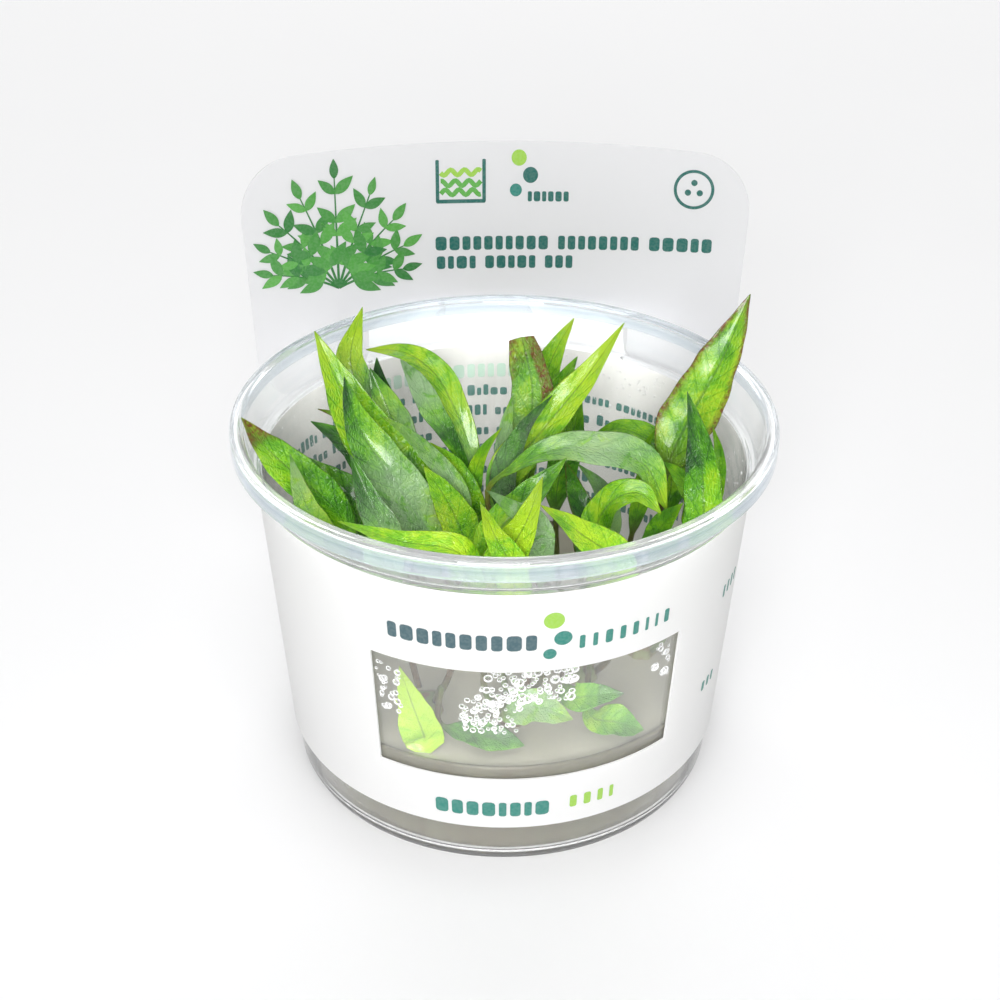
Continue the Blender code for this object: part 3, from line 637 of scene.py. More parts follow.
def bandPoint(turn, z, off=0.0):
    # turn goes round from the front towards +X; off is the distance out from the sheet's middle
    r = wallRadius(z) + cup["gap"] + sleeve["sheet"] / 2 + off
    a = np.radians(turn)
    return np.stack([r * np.sin(a), -r * np.cos(a), z + 0.0 * r], -1)


def flagHalf(z):
    # a straight taper, less a quarter ellipse at the top corners and a quarter circle at the ears
    low, wide = sleeve["half"]
    across, up = sleeve["corner"]
    half = low + (wide - low) * np.minimum(1.0, (z - sleeve["foot"]) / (sleeve["widest"] - sleeve["foot"]))
    rise = np.clip((z - sleeve["head"] + up) / up, 0.0, 0.999)
    drop = np.maximum(0.0, 1.0 - (z - sleeve["foot"]) / sleeve["earCorner"])
    return half - across * (1 - np.sqrt(1 - rise ** 2)) - sleeve["earCorner"] * (1 - np.sqrt(1 - drop ** 2))


def turnFlag(x, y, z):
    a = math.radians(sleeve["turn"])
    return np.stack([x * math.cos(a) - y * math.sin(a), x * math.sin(a) + y * math.cos(a), z], -1)


def flagPoint(x, z, off=0.0):
    # bowed about a tall axis in front, its top edge crowned; off is the distance towards the front
    lift = np.maximum(0.0, (z - sleeve["widest"]) / (sleeve["head"] - sleeve["widest"]))
    share = x / flagHalf(z)
    y = sleeve["flagY"] - x * x / (2 * sleeve["bow"]) - off
    return turnFlag(x, y, z + sleeve["crown"] * lift * (1 - share ** 2))


def makeBand():
    start, end, low, high = sleeve["window"]
    turns = np.arange(start, start + 360.0, sleeve["bandStep"])
    heights = np.concatenate([np.linspace(sleeve["bottom"], low, 5, endpoint=False),
                              np.linspace(low, high, 8, endpoint=False),
                              np.linspace(high, sleeve["top"], 6)])
    zz, tt = np.meshgrid(heights, turns, indexing="ij")
    quads = gridFaces(len(heights), len(turns), wrap=True)
    cellZ = np.repeat(0.5 * (heights[1:] + heights[:-1]), len(turns))
    cellTurn = np.tile(turns + sleeve["bandStep"] / 2, len(heights) - 1)
    inWindow = (cellZ > low) & (cellZ < high) & (cellTurn < end)
    band = addPiece("sleeveBand", bandPoint(tt, zz), [quads[~inWindow]], [sheetWhite, sheetInsideLit],
                    sharp=40)
    thicken(band, sleeve["sheet"], inside=1)
    return settle(band, "white_sheet", "label")


def makeFlag():
    # the sheet is a grid by height and share of its half width, with the tab's place cut out and a tongue
    # left; the tab is a second grid from the crease down to the band, and the two are welded at the crease
    crease, foot, head = sleeve["crease"], sleeve["foot"], sleeve["head"]
    creasePart, lowPart = sleeve["tabPart"]
    tongueFrom, tongueTo, tongueDrop = sleeve["tongue"]
    up = sleeve["corner"][1]
    ear = foot + sleeve["earCorner"] * (1 - np.cos(np.linspace(0.0, math.pi / 2, 9)))
    bend = head - up + up * np.sin(np.linspace(0.0, math.pi / 2 - 0.045, 16))
    heights = np.concatenate([ear, np.linspace(58.5, sleeve["notchStep"], 5), [crease - tongueDrop, crease],
                              np.linspace(crease + 2.5, head - up - 2.0, 8), bend])
    xTongue = np.array([tongueFrom, tongueTo]) / flagHalf(crease)
    inner = np.unique(np.concatenate([np.linspace(-creasePart, creasePart, 29), xTongue]))
    outer = np.concatenate([np.linspace(creasePart, lowPart, 6)[1:], np.linspace(lowPart, 1, 16)[1:]])
    shares = np.concatenate([-outer[::-1], inner, outer])
    zz, ss = np.meshgrid(heights, shares, indexing="ij")
    quads = gridFaces(len(heights), len(shares))
    cellZ = np.repeat(0.5 * (heights[1:] + heights[:-1]), len(shares) - 1)
    cellS = np.tile(0.5 * (shares[1:] + shares[:-1]), len(heights) - 1)
    onTongue = (cellS > xTongue[0]) & (cellS < xTongue[1]) & (cellZ > crease - tongueDrop)
    cut = (cellZ < crease) & (np.abs(cellS) < np.where(cellZ > sleeve["notchStep"], creasePart, lowPart))
    sheet = (flagPoint(ss * flagHalf(zz), zz).reshape(-1, 3), quads[~cut | onTongue])

    knots, inward = np.array(sleeve["tabRows"])[::-1].T
    rows = np.concatenate([[crease, crease - tongueDrop], np.linspace(66.4, 51.6, 22)])
    part = np.repeat(np.interp(rows, knots, inward)[:, None], len(inner), 1)
    part[1, (inner > xTongue[0] - 1e-6) & (inner < xTongue[1] + 1e-6)] = 0.0
    widen = np.clip((crease - rows) / (crease - knots[-2]), 0.0, 1.0)[:, None]
    creaseHalf, lowHalf = creasePart * flagHalf(crease), (lowPart - 0.02) * sleeve["half"][0]
    x = inner / creasePart * ((1 - widen) * creaseHalf + widen * lowHalf)
    zt = np.repeat(rows[:, None], len(inner), 1)
    flagY = sleeve["flagY"] - x * x / (2 * sleeve["bow"])
    bandR = wallRadius(zt) + cup["gap"] + sleeve["sheet"]
    y = flagY + (np.sqrt(bandR ** 2 - x ** 2) - flagY) * part
    tabQuads = gridFaces(len(rows), len(inner), flip=True)
    cellX = np.tile(0.5 * (inner[1:] + inner[:-1]), len(rows) - 1)
    firstRow = np.repeat(np.arange(len(rows) - 1) == 0, len(inner) - 1)
    under = firstRow & (cellX > xTongue[0]) & (cellX < xTongue[1])
    tab = (turnFlag(x, y, zt).reshape(-1, 3), tabQuads[~under])
    points, quads = joined([sheet, tab])
    # where the sheet stands free it gets a greyer copy of the sheet's white, painted shade, and lets more
    # light through than on the cup
    flag = addPiece("sleeveFlag", points, [quads], [sheetFreeShaded, sheetWhite], weld=0.01, sharp=40,
                    picks=(np.arange(len(quads)) >= len(sheet[1])).astype(int))
    thicken(flag, sleeve["sheet"])
    return settle(flag, "white_sheet", "label")


makeBand()
makeFlag()
print("sleeve made")


# The print: flat strokes of ink on the sheet. A stroke is a middle line with a half width at each of its
# points.

ink = {
    "lift": 0.04,
    "thick": 0.03,
    "deep": (0.012, 0.125, 0.105),
    "slate": (0.045, 0.105, 0.125),
    "teal": (0.02, 0.21, 0.17),
    "lime": (0.30, 0.55, 0.06),
    "leafDark": (0.02, 0.17, 0.03),
    "leafLight": (0.10, 0.38, 0.06),
    "ghost": (0.55, 0.76, 0.62),
}


def stroke(middle, half, colour, layer=0):
    middle = np.asarray(middle, float)
    along = unit(np.gradient(middle, axis=0))
    side = np.stack([-along[:, 1], along[:, 0]], -1)
    half = np.broadcast_to(np.asarray(half, float), len(middle))[:, None]
    flat = np.stack([middle - side * half, middle, middle + side * half], 1)
    return {"flat": flat, "ink": colour, "layer": layer}


def bar(x0, x1, y, height, colour):
    # a straight bar with softened ends
    soft = 0.3 * min(height, x1 - x0)
    middle = np.linspace(x0 + soft, x1 - soft, max(3, int((x1 - x0) / 0.7)))
    x = np.concatenate([[x0, x0 + 0.3 * soft], middle, [x1 - 0.3 * soft, x1]])
    half = height / 2 - soft * np.concatenate([[0.9, 0.25], 0.0 * middle, [0.25, 0.9]])
    return stroke(np.stack([x, np.full(len(x), y)], -1), half, colour)


def ringStroke(x, y, r, width, colour):
    a = np.linspace(0.0, math.tau, 49)
    return stroke(np.stack([x + r * np.cos(a), y + r * np.sin(a)], -1), width / 2, colour)


def dot(x, y, r, colour):
    s = np.sin(np.linspace(-math.pi / 2, math.pi / 2, 13))
    return stroke(np.stack([x + r * s, np.full(13, y)], -1), r * np.sqrt(1 - 0.998 * s * s), colour)


def sprigLeaf(x, y, heading, length, width, colour, layer):
    # an oval leaf from its foot at (x, y): half width follows a half sine, skewed to the foot
    t = np.linspace(0.0, 1.0, 11)
    a = np.radians(heading)
    line = np.stack([x + length * t * np.cos(a), y + length * t * np.sin(a)], -1)
    return stroke(line, width / 2 * np.sin(math.pi * t ** 0.8) + 0.03, colour, layer)


def printPiece(name, strokes, place):
    # place turns flat (x, y) and the height over the sheet into a point
    grids, faces, inks, start = [], [], [], 0
    for item in strokes:
        flat = item["flat"]
        grids.append(place(flat[..., 0], flat[..., 1], ink["lift"] * (1 + item["layer"])).reshape(-1, 3))
        faces.append(gridFaces(len(flat), 3) + start)
        inks.append(np.tile(item["ink"], (flat.shape[0] * 3, 1)))
        start += flat.shape[0] * 3
    piece = addPiece(name, np.concatenate(grids), [np.concatenate(faces)], [sleeveInk],
                     colours={"ink": np.concatenate(inks)})
    thicken(piece, ink["thick"], even=False, sharp=20)
    return settle(piece, "white_sheet")


def blockRow(x0, x1, y, height, colour, seed, block=(0.4, 0.75), gap=0.2, group=(30, 31), low=1.0):
    # a row of plain blocks in groups. Shares of the height: block, from the narrowest to the widest, gap,
    # and low, how high the shorter ones rise; group is how many blocks stand together
    picks = np.random.default_rng(seed)
    blocks, x, left = [], x0, int(picks.integers(*group))
    while x < x1 - block[0] * height:
        length = min(height * picks.uniform(*block), x1 - x)
        tall = height * (low if picks.uniform() < 0.65 else 1.0)
        blocks.append(bar(x, x + length, y - (height - tall) / 2, tall, ink[colour]))
        left -= 1
        x += length + gap * height * (1.0 if left else 3.5)
        left = left or int(picks.integers(*group))
    return blocks


flagArt = {
    "seed": 5,
    "sprigFoot": (-32.0, 74.5),
    "stems": 9,
    "lean": 62.0,                     # of the outer stems, in degrees
    "reach": (23.0, 9.5),             # length of the middle stem, and how much shorter the outer ones are
    "bend": 0.25,
    "stemHalf": (0.28, 0.12),
    "leavesAt": (0.3, 0.48, 0.66, 0.84, 1.0),
    "leafLean": 48.0,
    "leafLength": (6.4, 2.2),         # at the foot of a stem, and how much less at its tip
    "leafWidth": 0.42,                # share of its length
    # a tank in outline, filled with waves: from, to, middle height, height
    "tank": ((-12.0, -11.3, 96.0, 8.0), (-2.7, -2.0, 96.0, 8.0), (-11.9, -2.1, 92.2, 0.7)),
    "waves": ((97.6, "lime"), (95.6, "leafLight"), (93.9, "leafLight")),
    "dots": ((4.6, 100.2, 1.5, "lime"), (6.9, 97.0, 1.5, "deep"), (4.0, 94.2, 1.2, "teal")),
    "ring": (39.4, 95.2, 3.7, 0.6),   # x, y, radius, width
    "ringDots": (1.35, 0.62),         # how far from its middle, and their radius
    # from, to, middle height, height, seed, blocks in a group
    "rows": ((6.4, 14.6, 93.0, 1.9, 3, (9, 10)), (-12.2, 44.6, 83.4, 3.0, 8, (7, 12)),
             (-12.0, 17.2, 79.2, 2.8, 21, (4, 6))),
}


def makeSprig():
    # stems fan out from one foot, each with pairs of leaves and one at its tip
    picks = np.random.default_rng(flagArt["seed"])
    footX, footY = flagArt["sprigFoot"]
    dark, light = np.array(ink["leafDark"]), np.array(ink["leafLight"])
    atFoot, less = flagArt["leafLength"]
    t = np.linspace(0.0, 1.0, 9)
    strokes = []
    for i, lean in enumerate(np.linspace(-flagArt["lean"], flagArt["lean"], flagArt["stems"])):
        reach = flagArt["reach"][0] - flagArt["reach"][1] * abs(lean) / flagArt["lean"]
        curve = np.radians(90 - lean) - flagArt["bend"] * np.sin(np.radians(lean)) * t
        stem = np.stack([footX + reach * t * np.cos(curve), footY + reach * t * np.sin(curve)], -1)
        strokes.append(stroke(stem, np.linspace(*flagArt["stemHalf"], 9), ink["leafDark"], 1))
        for k, share in enumerate(flagArt["leavesAt"]):
            step = int(round(share * 8))
            heading = math.degrees(curve[step])
            for way in ((-1, 1) if share < 1.0 else (0,)):
                mix = picks.uniform(0.0, 1.0)
                length = (atFoot - less * share) * picks.uniform(0.85, 1.1)
                strokes.append(sprigLeaf(*stem[step], heading + way * flagArt["leafLean"], length,
                                         flagArt["leafWidth"] * length, dark * (1 - mix) + light * mix,
                                         2 + (i + k) % 4))
    return strokes


def makeFlagPrint():
    strokes = makeSprig() + [bar(*row, ink["deep"]) for row in flagArt["tank"]]
    wave = np.linspace(-11.0, -3.0, 25)
    for level, colour in flagArt["waves"]:
        line = np.stack([wave, level + 0.5 * np.sin(wave * 2.3 + level)], -1)
        strokes.append(stroke(line, 0.45, ink[colour]))
    strokes += [dot(x, y, r, ink[colour]) for x, y, r, colour in flagArt["dots"]]
    x, y, *_ = flagArt["ring"]
    out, r = flagArt["ringDots"]
    strokes.append(ringStroke(*flagArt["ring"], ink["deep"]))
    strokes += [dot(x + out * math.cos(a), y + out * math.sin(a), r, ink["deep"])
                for a in np.radians([90, 210, 330])]
    for *row, seed, group in flagArt["rows"]:
        strokes += blockRow(*row, "deep", seed, group=group)
    return printPiece("flagPrint", strokes, lambda x, y, off: flagPoint(x, y, sleeve["sheet"] / 2 + off))


bandArt = {
    "radius": 43.0,                   # distances round the band are taken at it
    "dots": ((8.1, 57.2, 1.7, "lime"), (9.7, 53.2, 1.5, "teal"), (7.6, 50.0, 1.1, "teal")),
    # from, to, middle height, height, colour, seed, narrowest and widest block, gap
    "rows": ((-19.4, 6.0, 52.7, 3.3, "slate", 2, (0.4, 0.75), 0.2),
             (12.5, 29.5, 51.8, 2.8, "teal", 6, (0.2, 0.45), 0.5),
             (-12.4, 10.4, 13.7, 3.4, "teal", 9, (0.4, 0.75), 0.2),
             (12.6, 21.4, 14.2, 2.8, "lime", 4, (0.2, 0.5), 0.5),
             (47.2, 54.0, 46.5, 2.6, "teal", 12, (0.2, 0.5), 0.5),
             (44.0, 50.0, 26.5, 2.2, "teal", 14, (0.2, 0.5), 0.5)),
    "innerLevels": (52.8, 27.0, -4.55),   # first and last height of the inner rows, and the step
    "innerHalf": 56.0,
    "innerHeight": 2.4,
    "innerBlock": (0.3, 0.62),
    "innerGroup": (4, 9),
    "innerLow": 0.7,
    "innerSeed": 40,
    "faintRow": (-2.0, 26.0, 57.2, 3.0, "ghost", 31),
    "faintGroup": (6, 8),
}


def onBand(x, y, off):
    # x is a distance round the band at its middle radius, 0 at the front
    return bandPoint(np.degrees(x / bandArt["radius"]), y, sleeve["sheet"] / 2 + off)


def inBand(x, y, off):
    # the same on the inner side, x = 0 at the back, growing to the left as seen from the front
    return bandPoint(180.0 + np.degrees(x / bandArt["radius"]), y, -sleeve["sheet"] / 2 - off)


def makeBandPrint():
    strokes = [dot(x, y, r, ink[colour]) for x, y, r, colour in bandArt["dots"]]
    for row in bandArt["rows"]:
        strokes += blockRow(*row)
    return printPiece("bandPrint", strokes, onBand)


def makeInnerPrint():
    half, strokes = bandArt["innerHalf"], []
    for row, y in enumerate(np.arange(*bandArt["innerLevels"])):
        seed = bandArt["innerSeed"] + row
        strokes += blockRow(row % 3 - half, half, y, bandArt["innerHeight"], "teal", seed,
                            bandArt["innerBlock"], group=bandArt["innerGroup"], low=bandArt["innerLow"])
    strokes += blockRow(*bandArt["faintRow"], group=bandArt["faintGroup"])
    return printPiece("innerPrint", strokes, inBand)


makeFlagPrint()
makeBandPrint()
makeInnerPrint()
print("print made")


# Leaves. Each is a path that its midrib passes, tip last, in the frame's own places.

foliage = {
    "stalk": 0.65,                # radius at the foot
    "stalkTaper": 0.45,
    "rib": 0.6,
    "ribHalf": 0.55,
    "curl": 0.30,                 # the margins' lift, waves and sideways sway, as shares of the half width
    "wave": 0.11,
    "edgeSway": 0.05,
    "quilt": 0.07,
    "thin": 0.16,                 # half the blade's thickness at its foot
    "stalkRows": 16,
    "bladeRows": 52,
    "across": 15,
    "gelTop": 22.0,
    # a stalk's foot: how deep in the crown, how far over the gel, and what the upper tier adds
    "seatSink": 0.4,
    "seatRise": 1.6,
    "tierRise": 1.9,
    # the next point of its path: up, out, and what the upper tier takes from that
    "leanUp": 4.0,
    "leanOut": 2.2,
    "tierIn": 0.9,
    "crownRadius": 3.0,
    "crownFoot": 17.6,
    "crownGrid": (14, 36),
    "slots": ("leaf_bright", "leaf_mid", "leaf_dark"),
}
upFront = (0, -6, 8)


def leaf(*path, width, blade, face=upFront, peak=0.38, blunt=False, tone=(0.45, 0.25), halfShade=(0.0, 0.0),
         rust=(0.0, 0.0), paintedSheen=(0.0, 0.5, 0.2)):
    # blade: where along it the blade starts; face: where its upper side looks; peak: where along the blade
    # it is widest; blunt: its tip is torn off; tone: 0 bright to 1 dark, at the base and the tip, the
    # leaf's own green together with painted shade; halfShade: painted shade added to it left and right,
    # painted light where below 0; rust: at the margins, the tip and the right-hand side; paintedSheen: how
    # much of a pale grey-green painted sheen, where, and over what length
    return dict(path=path, width=width, blade=blade, face=face, peak=peak, blunt=blunt, tone=tone,
                halfShade=halfShade, rust=(*rust, 0.0)[:3], paintedSheen=paintedSheen)


# for each plantlet, where its crown stands and its leaves
plantlets = {
    "middle": ((-5, -9), [
        leaf((-13, -8, 53.5), (-20.5, -5, 63), (-28, -1, 73), (-34.5, 4, 86.5), width=10.5, blade=0.33,
             face=(2, -7, 6), peak=0.42, tone=(0.5, 0.12), halfShade=(-0.05, 0)),
        leaf((-14, -13, 54.5), (-20.5, -11, 65), (-26, -8, 73), (-28.5, -6, 82.5), width=9, blade=0.38,
             face=(1, -7, 7), peak=0.42, tone=(0.55, 0.75), halfShade=(0.1, -0.3), paintedSheen=(0.8, 0.35, 0.25)),
        leaf((-7.5, -14, 54.5), (-10.5, -12.5, 61), (-14.5, -11, 67), width=6.8, blade=0.5, face=(1, -8, 6),
             peak=0.45, tone=(0.3, 0.22)),
        leaf((-7.5, -9.5, 59), (-12.5, -8, 66), (-17, -9, 72), (-22, -11, 77.5), width=3.6, blade=0.42,
             peak=0.5, tone=(0.4, 0.4), paintedSheen=(0.7, 0.5, 0.4)),
        leaf((-6.5, -7, 56.5), (-9, -5.5, 63), (-13.5, -5, 68.5), width=5.4, blade=0.5, face=(1, -7, 7),
             peak=0.42, tone=(0.38, 0.3)),
        leaf((-6, -4.5, 56), (-5, -3.5, 62.5), (-3, -3.5, 67), (-0.5, -3, 70.5), width=3.6, blade=0.42,
             face=(-1, -7, 7), peak=0.45, tone=(0.5, 0.25)),
        leaf((-2.5, -1, 50.5), (-2, 0, 53), (-1.5, 1, 56), width=2.6, blade=0.6, face=(0, -7, 7),
             tone=(0.3, 0), rust=(0.3, 0.5)),
        leaf((-8, -9, 54.5), (-9.5, -9, 58.5), (-11.5, -9, 62), width=3.2, blade=0.6, face=(0, -7, 7),
             tone=(0.25, 0.1)),
    ]),
    "back": ((-11, 4), [
        leaf((-6, 1, 61), (-7.5, 3, 66), (-10, 6, 71), (-13, 9, 75), (-18.5, 12.5, 77.5), (-26.5, 17, 76),
             width=5.6, blade=0.36, face=(0, -4, 9), peak=0.6, tone=(0.42, 0.15), paintedSheen=(0.6, 0.15, 0.25)),
        leaf((-6.5, -1.5, 59), (-10, -0.5, 66.5), (-13, 0.5, 71.5), (-15.5, 1.5, 76), (-19, 2.5, 81.5),
             width=4.4, blade=0.42, peak=0.72, tone=(0.8, 0.5), paintedSheen=(0.9, 0.85, 0.2)),
        leaf((-27, 9, 69.5), (-29, 13, 76), (-26.5, 15, 86), width=8.2, blade=0.42, face=(0, -8, 5),
             peak=0.42, tone=(0.6, 0.12), paintedSheen=(1, 0.3, 0.3)),
        leaf((-18.5, 1, 62), (-21.5, 4, 70), (-25, 7, 77.5), width=7.2, blade=0.42, face=(-1, -8, 6),
             peak=0.55, tone=(0.35, 0.5), paintedSheen=(0.9, 0.45, 0.3)),
        leaf((-22.5, 10, 69), (-23.5, 11, 72.5), (-24, 12, 77), width=3.6, blade=0.5, face=(-1, -8, 6),
             peak=0.65, tone=(0.85, 0.8)),
    ]),
    "left": ((-22, -4), [
        leaf((-30, -8, 54), (-37.5, -7, 62), (-43.5, -6, 68), (-47.5, -5, 73.5), width=7.4, blade=0.38,
             face=(1, -6, 8), peak=0.55, tone=(0.55, 0.35), rust=(0.25, 1)),
        leaf((-28.5, -1, 52.5), (-33, 1.5, 56.5), (-39, 3.5, 61), width=7, blade=0.45, face=(1, -6, 8),
             tone=(0.7, 0.5)),
        leaf((-34.5, -12, 56), (-36.5, -12.5, 62.5), (-38, -13, 70.5), width=4.8, blade=0.45,
             face=(0, -8, 6), peak=0.4, tone=(0.3, 0.3), paintedSheen=(0.7, 0.9, 0.35)),
        leaf((-27.5, 3.5, 60.5), (-31, 5, 63.5), (-36.5, 7, 66), width=4.8, blade=0.5, peak=0.5,
             tone=(0.8, 0.7)),
        leaf((-30, 14, 60), (-32.5, 17, 61.5), (-36.5, 19, 62), width=3, blade=0.6, tone=(0.7, 0.5),
             rust=(0.5, 0.6)),
    ]),
    "centre": ((6, -1), [
        leaf((1.5, -1, 60.5), (4.5, 1, 68), (5, 3, 76), (3, 5, 85), width=8.2, blade=0.36, face=(-1, -9, 4),
             blunt=True, tone=(0.65, 0.35), halfShade=(-0.12, 0.1), rust=(0.3, 0.5, 0.9),
             paintedSheen=(0.5, 0.5, 0.3)),
        leaf((4.5, 9, 54.5), (6.5, 13, 67), (9, 15, 75.5), (13, 17, 83), width=6.6, blade=0.42,
             face=(-3, -8, 5), peak=0.5, tone=(0.35, 0.12)),
        leaf((0.5, -6, 61.5), (7, -3, 70), (14.5, 0, 79), (21.5, 3, 89), width=7.4, blade=0.3,
             face=(-3, -7, 6), peak=0.42, tone=(0.5, 0.1), paintedSheen=(0.3, 0.1, 0.2)),
        leaf((4, 5, 61), (9, 8, 70), (13.5, 10, 78.5), width=6, blade=0.42, face=(-3, -7, 6), peak=0.55,
             tone=(0.65, 0.5)),
        leaf((0, -9, 62), (3, -8, 72), (8.5, -7, 79.5), width=5, blade=0.45, face=(-2, -7, 7),
             tone=(0.85, 0.8), paintedSheen=(0.3, 0.5, 0.5)),
        leaf((0, -4, 59.5), (0, -2, 67.5), (1.5, 0, 76), width=4.4, blade=0.36, face=(1, -8, 5), peak=0.5,
             tone=(0.55, 0.5), paintedSheen=(1, 0.5, 0.5)),
        leaf((10, 3, 53.5), (12.5, 6, 63), (14.5, 8, 70.5), width=6, blade=0.5, face=(0, -8, 5), peak=0.45,
             tone=(0.6, 0.45)),
    ]),
    "right": ((27, -6), [
        leaf((30, -3, 61.5), (34.5, 1, 71.5), (39.5, 5, 80), (44.5, 9, 92), width=10.4, blade=0.51,
             face=(-4, -8, 5), peak=0.36, tone=(0.35, 0.3), rust=(0.9, 0.5)),
        leaf((35.5, -15, 56.5), (35.5, -13, 65.5), (34, -11, 74.5), (32, -10, 82), width=7.2, blade=0.3,
             face=(-1, -9, 4), peak=0.42, tone=(0.35, 0.75), halfShade=(0.15, -0.15), rust=(0.2, 0)),
        leaf((38.5, -8, 58.5), (39, -6, 66.5), (37.5, -5, 72.5), width=2.8, blade=0.5, face=(-1, -9, 4),
             peak=0.5, tone=(0.6, 0.5), rust=(0.4, 0.3)),
        leaf((31.5, 3, 56.5), (28.5, 6, 61.5), (22, 8, 64), (16.5, 9, 62), width=7, blade=0.42,
             face=(0, -3, 9), peak=0.5, tone=(0.45, 0.4)),
        leaf((26.5, 1.5, 59), (26.2, 1.2, 63.5), (28, 1, 68.5), width=3.4, blade=0.5, tone=(0.4, 0.3)),
        leaf((35.5, -5.5, 55.5), (32.5, -5, 61), (29, -5.5, 65), width=5.6, blade=0.5, face=(1, -7, 7),
             peak=0.45, tone=(0.5, 0.35)),
        leaf((27.5, -12, 52), (29, -15, 58), (31.5, -19, 64.5), width=4.6, blade=0.5, face=(0, -7, 7),
             peak=0.45, tone=(0.7, 0.5)),
    ]),
    "front": ((2, -26), [
        leaf((-1.5, -25, 60.5), (4, -21, 66), (11, -17, 72.5), width=7, blade=0.42, face=(-2, -7, 7),
             peak=0.45, tone=(0.35, 0.45)),
        leaf((0.5, -31, 60), (4, -31, 68.5), (6.5, -30, 76.5), width=8.6, blade=0.33, face=(-1, -8, 6),
             peak=0.36, tone=(0.3, 0)),
        leaf((18.5, -33, 61), (12.5, -35, 68.5), (6, -36, 74.5), width=7.4, blade=0.4, peak=0.42,
             tone=(0.35, 0.2)),
        leaf((5.5, -27, 64.5), (1, -28, 69), (-3, -29, 73), width=5, blade=0.5, face=(0, -7, 7), peak=0.45,
             tone=(0.5, 0.5), paintedSheen=(1, 0.6, 0.5)),
        leaf((1, -35, 62), (-1.5, -35.5, 68), (-4, -36, 75), width=6, blade=0.45, face=(0, -8, 6), peak=0.4,
             tone=(0.3, 0.2)),
        leaf((-0.5, -35, 29.5), (5.5, -37, 33), (12.5, -36.5, 30), width=6.4, blade=0.4, face=(0, -5, 9),
             peak=0.45, tone=(0.3, 0.25), paintedSheen=(0.8, 0.5, 0.5)),
    ]),
    "inner": ((15, -14), [
        leaf((-3, -14, 63.5), (2, -13, 68), (9, -12, 71), (17.5, -11, 70.5), (25, -11, 67.5),
             (29.5, -13, 59), width=7.2, blade=0.5, face=(0, -5, 9), peak=0.6, tone=(0.35, 0.3),
             paintedSheen=(0.9, 0.55, 0.2)),
        leaf((16.5, -16, 57), (20, -16, 63.5), (24, -16, 64.5), (28, -18, 61.5), width=6.4, blade=0.4,
             face=(0, -4, 9), peak=0.6, tone=(0.5, 0.15)),
        leaf((15, -9, 54.5), (13, -7, 59.5), (11, -6, 65.5), width=5, blade=0.45, face=(1, -8, 6),
             peak=0.45, tone=(0.8, 0.7), rust=(0.5, 0.3)),
        leaf((19.5, -6, 54.5), (17.5, -4, 58.5), (13.5, -3, 63), width=4, blade=0.5, face=(1, -6, 8),
             peak=0.45, tone=(0.6, 0.5), paintedSheen=(0.7, 0.5, 0.4)),
        leaf((16, -30, 25.5), (20.5, -32.3, 26), (25.5, -32, 24.2), width=6, blade=0.5, face=(0, -5, 9),
             peak=0.55, tone=(0.45, 0.4)),
        leaf((12.5, -32, 31.5), (16.5, -34, 33.5), (21.5, -34, 34), width=5, blade=0.45, face=(0, -7, 7),
             peak=0.5, tone=(0.6, 0.5)),
    ]),
    "edge": ((-14, -24), [
        leaf((-7.5, -36.5, 65), (-17.5, -35, 66.5), (-28.5, -29.5, 67), width=6, blade=0.35,
             face=(0, -5, 9), peak=0.36, tone=(0.25, 0.15)),
        leaf((-21, -22, 59), (-24, -20, 66), (-27, -17, 73), width=6.4, blade=0.4, face=(1, -8, 6),
             peak=0.42, tone=(0.6, 0.65), paintedSheen=(0.8, 0.35, 0.3)),
        leaf((-14, -35, 24.5), (-16, -36, 33), (-18, -37, 42), width=7.2, blade=0.3, face=(0, -9, 4),
             peak=0.3, tone=(0.05, 0)),
        leaf((-11.5, -32, 25.5), (-4.5, -36, 26), (4, -37.3, 24.6), width=5.4, blade=0.4, face=(0, -5, 9),
             peak=0.55, tone=(0.65, 0.6)),
    ]),
}


def smoothPath(path, perSpan=24):
    # Catmull-Rom curve through the points, knots spaced by the root of each chord, its ends mirrored
    p = np.array(path, float)
    p = np.vstack([2 * p[0] - p[1], p, 2 * p[-1] - p[-2]])
    knot = np.concatenate([[0.0], np.cumsum(np.linalg.norm(np.diff(p, axis=0), axis=1) ** 0.5)])
    pieces = []
    for i in range(1, len(p) - 2):
        t = np.linspace(knot[i], knot[i + 1], perSpan, endpoint=False)[:, None]

        def between(a, b, m, n):
            return (knot[n] - t) / (knot[n] - knot[m]) * a + (t - knot[m]) / (knot[n] - knot[m]) * b
        a1, a2 = between(p[i - 1], p[i], i - 1, i), between(p[i], p[i + 1], i, i + 1)
        a3 = between(p[i + 1], p[i + 2], i + 1, i + 2)
        b1, b2 = between(a1, a2, i - 1, i + 1), between(a2, a3, i, i + 2)
        pieces.append(between(b1, b2, i, i + 1))
    return np.vstack(pieces + [p[-2][None]])


def sample(curve, where):
    # points and tangents at shares of the curve's length, read from a dense, even copy of it
    steps = np.concatenate([[0.0], np.cumsum(np.linalg.norm(np.diff(curve, axis=0), axis=1))])
    even = np.linspace(0.0, 1.0, 200)
    dense = np.stack([np.interp(even * steps[-1], steps, curve[:, k]) for k in range(3)], -1)
    tangent = unit(np.gradient(dense, axis=0))

    def pick(values):
        return np.stack([np.interp(where, even, values[:, k]) for k in range(3)], -1)
    return pick(dense), unit(pick(tangent))


